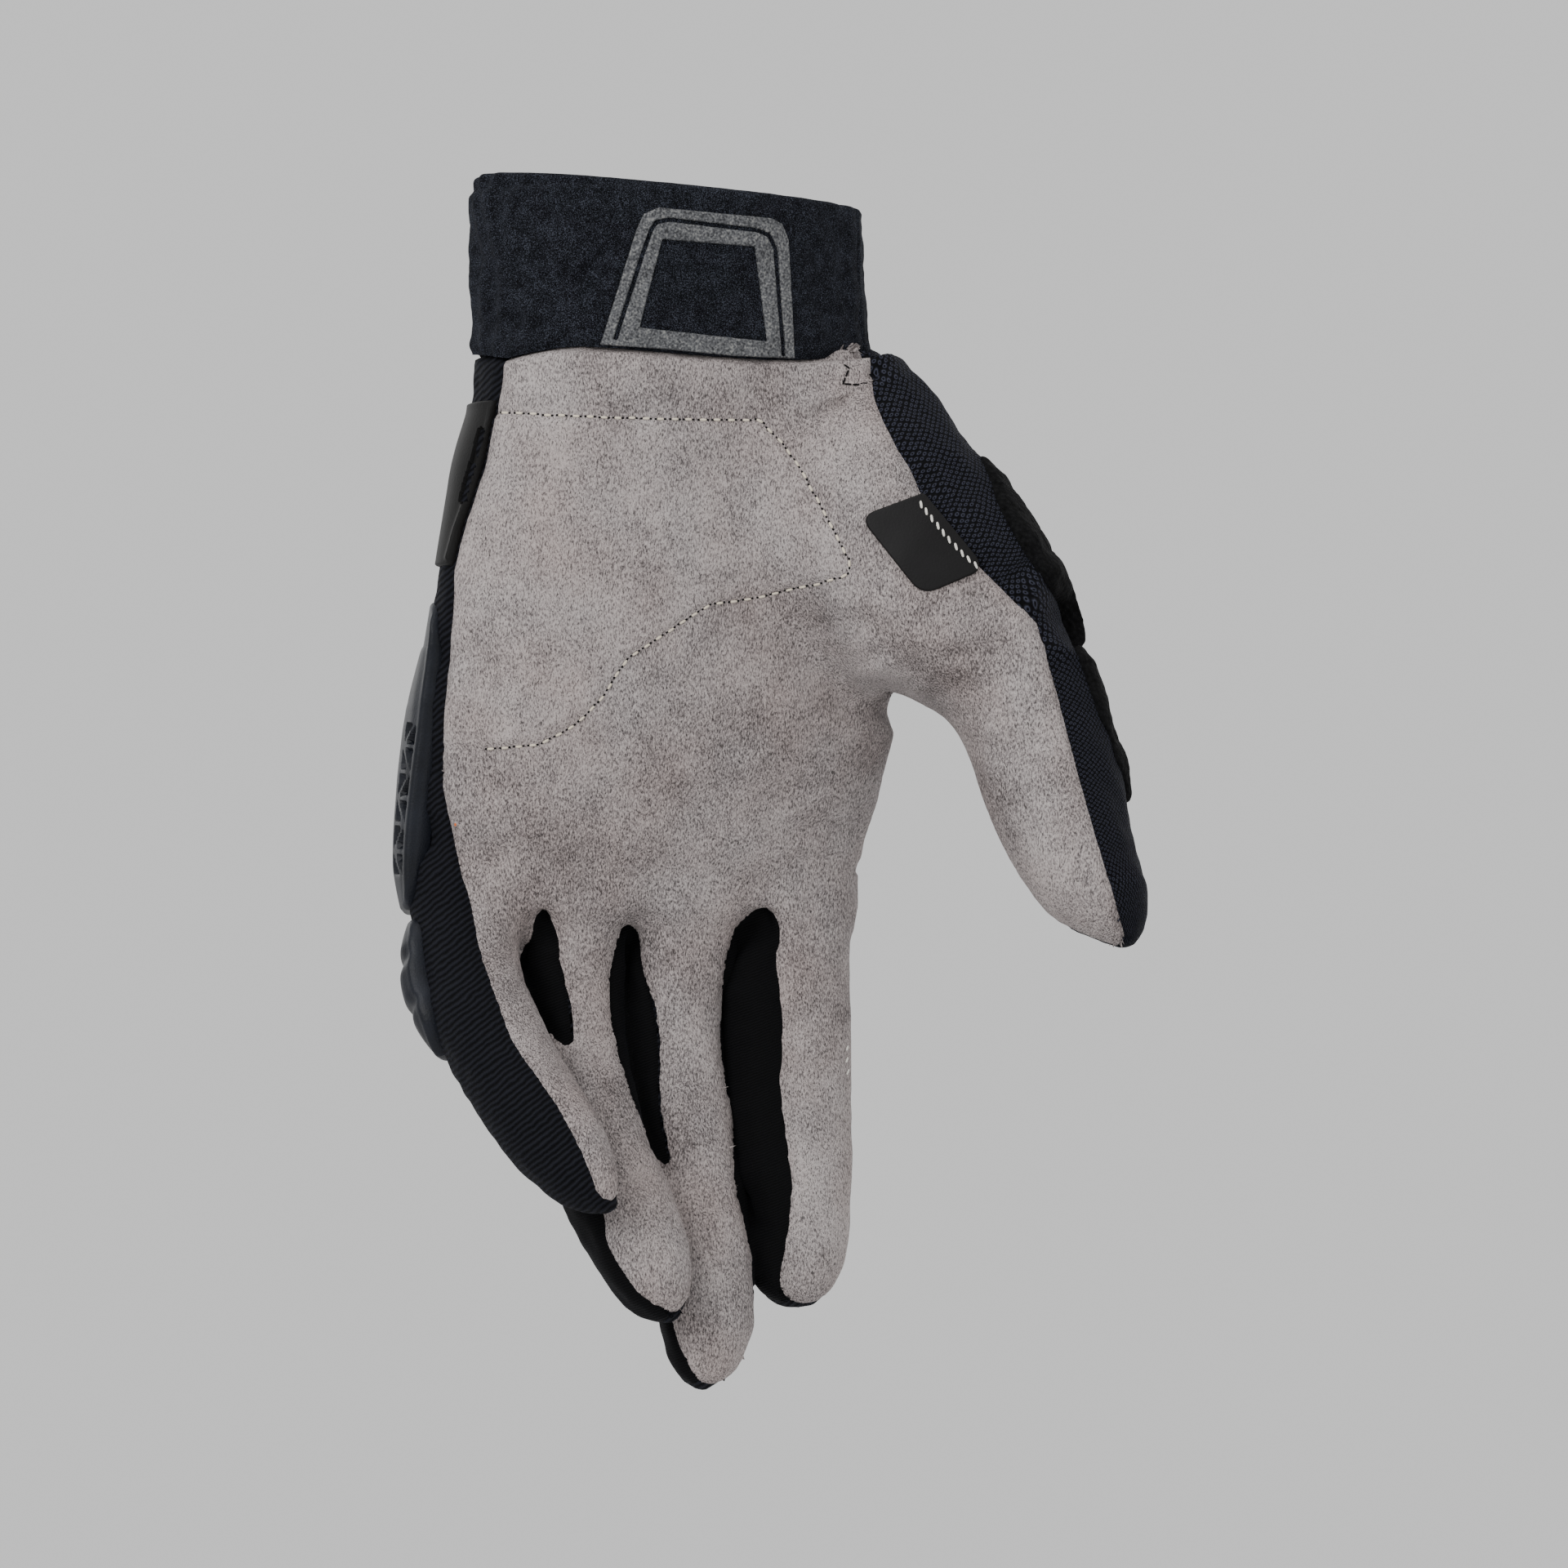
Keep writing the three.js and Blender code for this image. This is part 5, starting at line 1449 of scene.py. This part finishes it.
def from_borders(degrees, ends, down, limits, radius, length, corner):
    """How far points are inside a band between two angles and two shares down a tube, in
    millimetres, with rounded corners."""
    sides = np.minimum(degrees - ends[0], ends[1] - degrees) * np.pi / 180 * radius
    along = np.minimum(down - limits[0], limits[1] - down) * length
    return smooth_least(sides, along, corner)


def pocket_relief(s, z):
    """How deep the pockets are at a distance s from the lip and a height z: a strip of squares,
    each cut by a slanting rib that leans the other way from one to the next."""
    run = (POCKET_ENDS[0] - z) / POCKET_PITCH
    u = np.clip((s - POCKET_SPAN[0]) / np.ptp(POCKET_SPAN), 0, 1)
    u = np.where(np.floor(run) % 2 == 0, u, 1 - u)
    v = run % 1
    level = np.minimum(v, 1 - v) * POCKET_PITCH - POCKET_RIB / 2
    slant = np.abs(v - u) * POCKET_PITCH * 0.8 - POCKET_RIB / 2
    border = np.minimum(s - POCKET_SPAN[0], POCKET_SPAN[1] - s)
    ends = np.minimum(POCKET_ENDS[0] - z, z - POCKET_ENDS[1])
    clear = np.minimum(np.minimum(level, slant), np.minimum(border, ends))
    return POCKET_DEPTH * np.clip(clear / POCKET_WALL, 0, 1) ** 0.7


def from_front_edge(points, grown, degrees, line):
    """Arc length of a patch's points from the line where the camera sees its front edge. Rows of
    the patch share a station and end in front. The edge is looked for on the grown patch, and
    smoothed from row to row by a running mean."""
    columns = np.argmax(np.diff(degrees) > 0) + 1
    seen = (-beside(to_pixels(grown), line) > 0) | (degrees > SILHOUETTE)
    onward = points.reshape(-1, columns, 3)[:, ::-1]
    steps = np.linalg.norm(np.diff(onward, axis=1), axis=2)
    run = np.concatenate([np.zeros((len(steps), 1)), np.cumsum(steps, axis=1)], 1)
    start = seen.reshape(-1, columns)[:, ::-1].argmax(1)
    first = np.take_along_axis(run, start[:, None], 1)[:, 0]
    window = np.ones(EDGE_WINDOW) / EDGE_WINDOW
    first = np.convolve(np.pad(first, EDGE_WINDOW // 2, mode="edge"), window, mode="valid")
    return (run - first[:, None])[:, ::-1].ravel()


def sloped(height, s):
    """Heights brought down towards the front edge, where s is nought, along a curve that starts
    steep and ends level."""
    share = 1 - (1 - np.clip(s / FRONT_SLOPE, 0, 1)) ** 1.7
    return FRONT_LEAST + (height - FRONT_LEAST) * share


def make_knuckle_guard():
    """The guard as a raised patch of the palm's tube."""
    limits = (GUARD_TOP, 1 - GUARD_FOOT / PALM_LENGTH)
    patch = palm, *limits, *GUARD_ANGLES, GUARD_STEP
    points, triangles, t, degrees = patch_on(*patch)
    grown, *_ = patch_on(*patch, grow=GUARD_RISE)
    down = at_station(palm.down, t)
    radius = (PALM_WIDTH + PALM_DEPTH) / 4
    band = from_borders(degrees, GUARD_ANGLES, down, limits, radius, PALM_LENGTH, GUARD_CORNER)
    s = from_front_edge(points, grown, degrees, GUARD_EDGE)
    heights = np.array([line.split() for line in GUARD_HEIGHTS.splitlines()], float)
    height = GUARD_THICKNESS * smooth_curve(heights[:, 0], heights[:, 1], down)
    across = (degrees - GUARD_ANGLES[0]) / np.ptp(GUARD_ANGLES)
    height *= (1 - CHANNEL) + CHANNEL * np.cos(2 * np.pi * KNUCKLES * across)
    crown = SIDE_CROWN * np.clip((down - GUARD_TOP) / 0.3, 0, 1)
    height += crown * bell(degrees - SILHOUETTE - 8, CROWN_WIDTH)
    lip = LIP_HEIGHT * bell(s - LIP_PLACE, LIP_WIDTH)
    height = np.maximum(sloped(height, s) + lip - pocket_relief(s, points[:, 2]), GUARD_LEAST)
    return raised("knuckle_rubber", points, triangles, np.minimum(band, s), height,
                  GUARD_BORDER, GUARD_SUNK, guard_rubber, ["knuckle_guard"])


def make_little_guard():
    """The second guard, over the root of the little finger, with two cross grooves."""
    limits = LITTLE_GUARD_ENDS
    patch = little, *limits, *LITTLE_GUARD_ANGLES, LITTLE_GUARD_STEP
    points, triangles, t, degrees = patch_on(*patch)
    grown, *_ = patch_on(*patch, grow=LITTLE_GUARD_RISE)
    down = at_station(little.down, t)
    band = from_borders(degrees, LITTLE_GUARD_ANGLES, down, limits, LITTLE_RADIUS, little.length,
                        LITTLE_CORNER)
    edge = from_front_edge(points, grown, degrees, LITTLE_GUARD_EDGE)
    share = (down - limits[0]) / np.ptp(limits)
    height = LITTLE_GUARD_THICKNESS * (0.35 + 0.65 * np.sin(np.pi * share))
    for groove in LITTLE_GROOVES:
        height -= LITTLE_GROOVE_DEPTH * bell(share - groove, LITTLE_GROOVE_WIDTH)
    height = sloped(height, edge * 1.8) + 0.4 * bell(edge - 1.0, 0.8)
    return raised("little_rubber", points, triangles, np.minimum(band, edge), height,
                  GUARD_BORDER, LITTLE_SUNK, guard_rubber, ["little_guard"])


make_knuckle_guard()
make_little_guard()

# %% [markdown]
# Behind the wrist, on the little finger's side, sits a smooth charcoal panel of thin rubber, with
# a ridge along it and a dark slot. The towelling on the back of the thumb, which riders wipe their
# brow with, is thicker, and its edge is rolled.

# %% Wrist panel and thumb wipe
BADGE_ANGLES, BADGE_TOP, BADGE_FOOT, BADGE_THICKNESS = (150, 262), 8, 40, 0.9
BADGE_SLOT = [(593, 530), (586, 560), (577, 590), (571, 612)]
BADGE_RIDGE = [(607, 500), (600, 530), (590, 566), (577, 606), (562, 650), (553, 684)]
WIPE_BACK, WIPE_ENDS, WIPE_THICKNESS = 0.9, (0.059, 0.742), 1.2
RIDGE_HEIGHT, RIDGE_WIDTH, SLOT_WIDTH, SLOT_FLOOR = 0.55, 0.45, 1.5, 0.1
WIPE_IRONING = 30  # how often the distance from its outline is ironed
WIPE_BEHIND = 7  # how much further the towelling reaches behind what the camera sees
WIPE_EDGE = [(1170, 505), (1186, 536), (1199, 559), (1212, 586), (1219, 612), (1232, 639),
             (1252, 675), (1275, 708), (1295, 738), (1305, 765), (1318, 801), (1332, 838),
             (1345, 877), (1358, 902), (1366, 933), (1377, 953), (1384, 1000)]


def finer(rows, triangles):
    """Every triangle cut into four at the middles of its edges."""
    pairs = np.concatenate([triangles[:, [0, 1]], triangles[:, [1, 2]], triangles[:, [2, 0]]])
    edges, which = np.unique(np.sort(pairs, 1), axis=0, return_inverse=True)
    a, b, c = triangles.T
    ab, bc, ca = (which.ravel() + len(rows)).reshape(3, -1)
    cut = [np.stack(three, 1) for three in ((a, ab, ca), (ab, b, bc), (ca, bc, c), (ab, bc, ca))]
    return np.concatenate([rows, rows[edges].mean(1)]), np.concatenate(cut)


def laid_on_hand(points, triangles, rounds=4):
    """Points moved along their normals until they lie on the smooth hand."""
    for _ in range(rounds):
        move = np.clip(hand_distance(points), -2, 2)
        points = points - MOVE_SHARE * move[:, None] * normals_of(points, triangles)
    return points


def make_wrist_panel():
    """Thin rubber with a ridge and a slot."""
    limits = (BADGE_TOP / PALM_LENGTH, BADGE_FOOT / PALM_LENGTH)
    points, triangles, t, degrees = patch_on(palm, *limits, *BADGE_ANGLES, step=0.4)
    points = laid_on_hand(points, triangles)
    pixels = to_pixels(points)
    down = at_station(palm.down, t)
    band = from_borders(degrees, BADGE_ANGLES, down, limits, 30, PALM_LENGTH, 4)
    front = degrees < SILHOUETTE
    edge = np.where(front, -beside(pixels, LEFT_EDGE) - 0.35, 30)
    slot, _ = line_distance(pixels, BADGE_SLOT)
    ridge, _ = line_distance(pixels, BADGE_RIDGE)
    height = BADGE_THICKNESS + front * RIDGE_HEIGHT * bell(ridge, RIDGE_WIDTH)
    height = np.where(front & (slot < SLOT_WIDTH / 2), SLOT_FLOOR, height)
    return raised("wrist_rubber", points, triangles, np.minimum(band, edge), height, 0.5, 0.6,
                  wrist_rubber, ["wrist_badge"])


def from_wipe(points):
    """How far points are inside the towelling: right of its edge in the picture, or behind where
    the camera sees, between its two ends, and in front of a line down the back of the thumb."""
    z = points[:, 2]
    root = -CUFF_HEIGHT - THUMB_START[1] * PALM_LENGTH
    top, foot = (root - share * THUMB_LENGTH for share in WIPE_ENDS)
    ends = np.minimum(top - z, z - foot)
    x, y, reach = (np.interp(-z, -thumb.centre[:, 2], values) for values in
                   (thumb.centre[:, 0], thumb.centre[:, 1], WIPE_BACK * thumb.half_depth))
    behind = np.clip((points[:, 1] - y) / 4, 0, 1)
    in_sight = beside(to_pixels(points), WIPE_EDGE) + WIPE_BEHIND * behind
    sides = smooth_least(in_sight, y + reach - points[:, 1], 1)
    return smooth_least(np.minimum(sides, points[:, 0] - x), ends, 4)


def make_wipe():
    """Towelling over the back of the thumb, thickest along its rolled edge."""
    points, triangles = kept(rows[:, :3], skin_faces, from_wipe(rows[:, :3]) + 3)
    points, triangles = finer(points, triangles)
    points = relaxed(points, triangles, 2)
    inside = relaxed(np.clip(from_wipe(points), -3, 6)[:, None], triangles, WIPE_IRONING)[:, 0]
    height = WIPE_THICKNESS + 0.4 * bell(inside - 1.4, 1.1)
    height += thumb_fill(to_pixels(points), 2)
    height += 0.16 * waves(points, 6, 21) + 0.07 * waves(points, 1.6, 22)
    made = raised("thumb_towelling", points, triangles, inside, height, 1.2, 0.7, terry,
                  ["thumb_wipe"])
    return made


make_wrist_panel()
make_wipe()

# %% [markdown]
# A patch whose place is known from the picture alone, such as the tab in the thumb's seam, is
# found by walking along the camera's lines of sight: each step is as long as the distance to the
# hand, so it never passes through it.

# %% Tab in the thumb seam
LABEL_CORNERS = [(1052, 633), (1131, 604), (1207, 697), (1129, 730)]
LABEL_ROUNDING = (3.2, 0.6, 3.2, 3.2)
LABEL_THICKNESS, LABEL_BORDER, LABEL_SUNK = 0.65, 0.35, 1.2
LABEL_MARGIN, LABEL_STEP = 6, 2.0  # pixels


def seen_at(pixels, steps=36):
    """The points of the smooth hand that the camera sees at pixels."""
    ways = sight_lines(pixels)
    run = np.full(len(ways), CAMERA_DISTANCE - 60.0)
    for _ in range(steps):
        run += 0.85 * hand_distance(CAMERA_PLACE + ways * run[:, None])
    return CAMERA_PLACE + ways * run[:, None]


def make_label():
    """A bare dark tab."""
    low = np.min(LABEL_CORNERS, axis=0) - LABEL_MARGIN
    high = np.max(LABEL_CORNERS, axis=0) + LABEL_MARGIN + 1
    x, y = np.meshgrid(*(np.arange(low[k], high[k], LABEL_STEP) for k in (0, 1)))
    pixels = np.stack([x.ravel(), y.ravel()], 1)
    points = seen_at(pixels)
    inside = inside_edges(pixels, LABEL_CORNERS, LABEL_ROUNDING)
    height = LABEL_THICKNESS + LABEL_BORDER + 0.08 * waves(points, 9, 31)
    return raised("seam_tab", points, grid_faces(*x.shape), inside, height, LABEL_BORDER,
                  LABEL_SUNK, label_cloth, ["grip_label"])


seam_tab = make_label()

# %% [markdown]
# Thread is modelled stitch by stitch, as short capsules joined into one mesh for each colour. Rays
# from the camera find where the line of stitches crosses the finished skin. Each stitch goes into
# the cloth at both ends, and the shade in the hole that the needle left is painted as a short black
# capsule.

# %% Stitches
HEEL_STITCH, HEEL_PITCH, THREAD = 1.3, 2.7, 0.25
# HOLE is the radius of the painted shade in a needle hole
HOLE, HOLE_REACH = 0.22, 0.3  # radius, and how far a hole runs on from its stitch
HEEL_LIFT, LABEL_LIFT = 0.12, 0.1  # how far a thread's middle lies above the cloth
TACK = [(1033, 447), (1040, 452), (1036, 461), (1033, 470), (1050, 471), (1066, 470)]
LABEL_SEAM = [(1124, 613), (1143, 638), (1161, 660), (1179, 679), (1196, 693)]
INDEX_TACK = [(1037, 1276), (1037, 1294), (1037, 1314)]
SPECK = [(558, 1008), (558, 1012)]
CAPSULE_SIDES = 8


def along_line(line, pitch):
    """Pixels at an even pitch in millimetres along a line, and the way that it runs there."""
    line = np.array(line, float)
    run = np.concatenate([[0], np.cumsum(np.linalg.norm(np.diff(line, axis=0), axis=1))]) * PIXEL
    at = np.arange(pitch / 2, run[-1], pitch)
    spots = np.stack([np.interp(at, run, line[:, k]) for k in (0, 1)], 1)
    ahead = np.stack([np.interp(at + 0.5, run, line[:, k]) for k in (0, 1)], 1)
    back = np.stack([np.interp(at - 0.5, run, line[:, k]) for k in (0, 1)], 1)
    ways = ahead - back
    return spots, ways / np.linalg.norm(ways, axis=1)[:, None]


def hits(tree, pixels):
    """Where the camera's rays through pixels meet a tree of faces, in millimetres, and the faces'
    normals there. A ray that misses gives no number."""
    found = [tree.ray_cast(Vector(CAMERA_PLACE), Vector(way)) for way in sight_lines(pixels)]
    missed = (np.nan, np.nan, np.nan)
    return tuple(np.array([hit[k][:] if hit[k] else missed for hit in found]) for k in (0, 1))


def capsules(name, starts, ends, normals, radius, material, flat=0.8):
    """Rounded rods from starts to ends in one mesh. The profile is a half ellipse over the rod's
    length, so both ends are closed, and flat squeezes them towards the cloth."""
    profile = np.array([(0, 0.02), (0.04, 0.5), (0.16, 0.9), (0.5, 1.0), (0.84, 0.9), (0.96, 0.5),
                        (1, 0.02)])
    turn = np.arange(CAPSULE_SIDES) * 2 * np.pi / CAPSULE_SIDES
    axis = ends - starts
    side = np.cross(axis, normals)
    side /= np.linalg.norm(side, axis=1)[:, None]
    up = np.cross(side, axis)
    up /= np.linalg.norm(up, axis=1)[:, None]
    c, s = np.cos(turn)[None, :, None], np.sin(turn)[None, :, None]
    ring = side[:, None] * c + flat * up[:, None] * s
    along = starts[:, None] + axis[:, None] * profile[None, :, :1]
    points = along[:, :, None] + ring[:, None] * (radius * profile[:, 1])[None, :, None, None]
    ends_of = np.stack([starts, ends], 1)
    each = np.concatenate([points.reshape(len(starts), -1, 3), ends_of], 1)
    quads, fans = wrapped_grid(len(profile), CAPSULE_SIDES)
    first = np.arange(len(starts))[:, None, None] * each.shape[1]
    return piece(name, mesh_of(name, each.reshape(-1, 3), (quads + first).reshape(-1, 4),
                               (fans + first).reshape(-1, 3)), material)


def stitch_line(tree, line, pitch, length, lean=0.0):
    """Starts, ends and normals of the stitches along a line. lean turns each by an angle."""
    spots, ways = along_line(line, pitch)
    c, s = np.cos(np.radians(lean)), np.sin(np.radians(lean))
    ways = np.stack([c * ways[:, 0] - s * ways[:, 1], s * ways[:, 0] + c * ways[:, 1]], 1)
    half = length / 2 / PIXEL
    wobble = random.normal(0, 0.35, spots.shape)
    starts, normals = hits(tree, spots - ways * half + wobble)
    ends, _ = hits(tree, spots + ways * half + wobble)
    found = np.isfinite(starts[:, 0] + ends[:, 0])
    return starts[found], ends[found], normals[found]


skin_tree = BVHTree.FromPolygons(rows[:, :3].tolist(), skin_faces.tolist())
start, end, up = stitch_line(skin_tree, HEEL_PAD[1:-1], HEEL_PITCH, HEEL_STITCH)
capsules("heel_thread", start + up * HEEL_LIFT, end + up * HEEL_LIFT, up, THREAD, pale_thread)
# the painted shade of the needle holes: black capsules past both ends of each stitch
way = (end - start) / np.linalg.norm(end - start, axis=1)[:, None] * HOLE_REACH
outer_ends = start - way * 1.6, end + way * 1.6
capsules("needle_hole_shade", np.concatenate([outer_ends[0], end]),
         np.concatenate([start, outer_ends[1]]), np.concatenate([up, up]), HOLE, black_thread_and_hole_shade)
start, end, up = stitch_line(skin_tree, TACK, 1.5, 1.4)
capsules("tack_thread", start + up * HEEL_LIFT, end + up * HEEL_LIFT, up, 0.2, black_thread_and_hole_shade)

tab_corners = np.array([corner.co[:] for corner in seam_tab.data.vertices]) / MM
tab_faces = [list(face.vertices) for face in seam_tab.data.polygons]
tab_tree = BVHTree.FromPolygons(tab_corners.tolist(), tab_faces)
white = [stitch_line(tab_tree, LABEL_SEAM, 1.75, 1.5, lean=28),
         stitch_line(skin_tree, INDEX_TACK, 2.3, 1.1, lean=20)]
start, end, up = (np.concatenate(parts) for parts in zip(*white))
capsules("seam_thread", start + up * LABEL_LIFT, end + up * LABEL_LIFT, up, THREAD, white_thread)
start, end, up = stitch_line(skin_tree, SPECK, 0.5, 0.6)
capsules("orange_speck", start, end, up, 0.22, orange_thread)
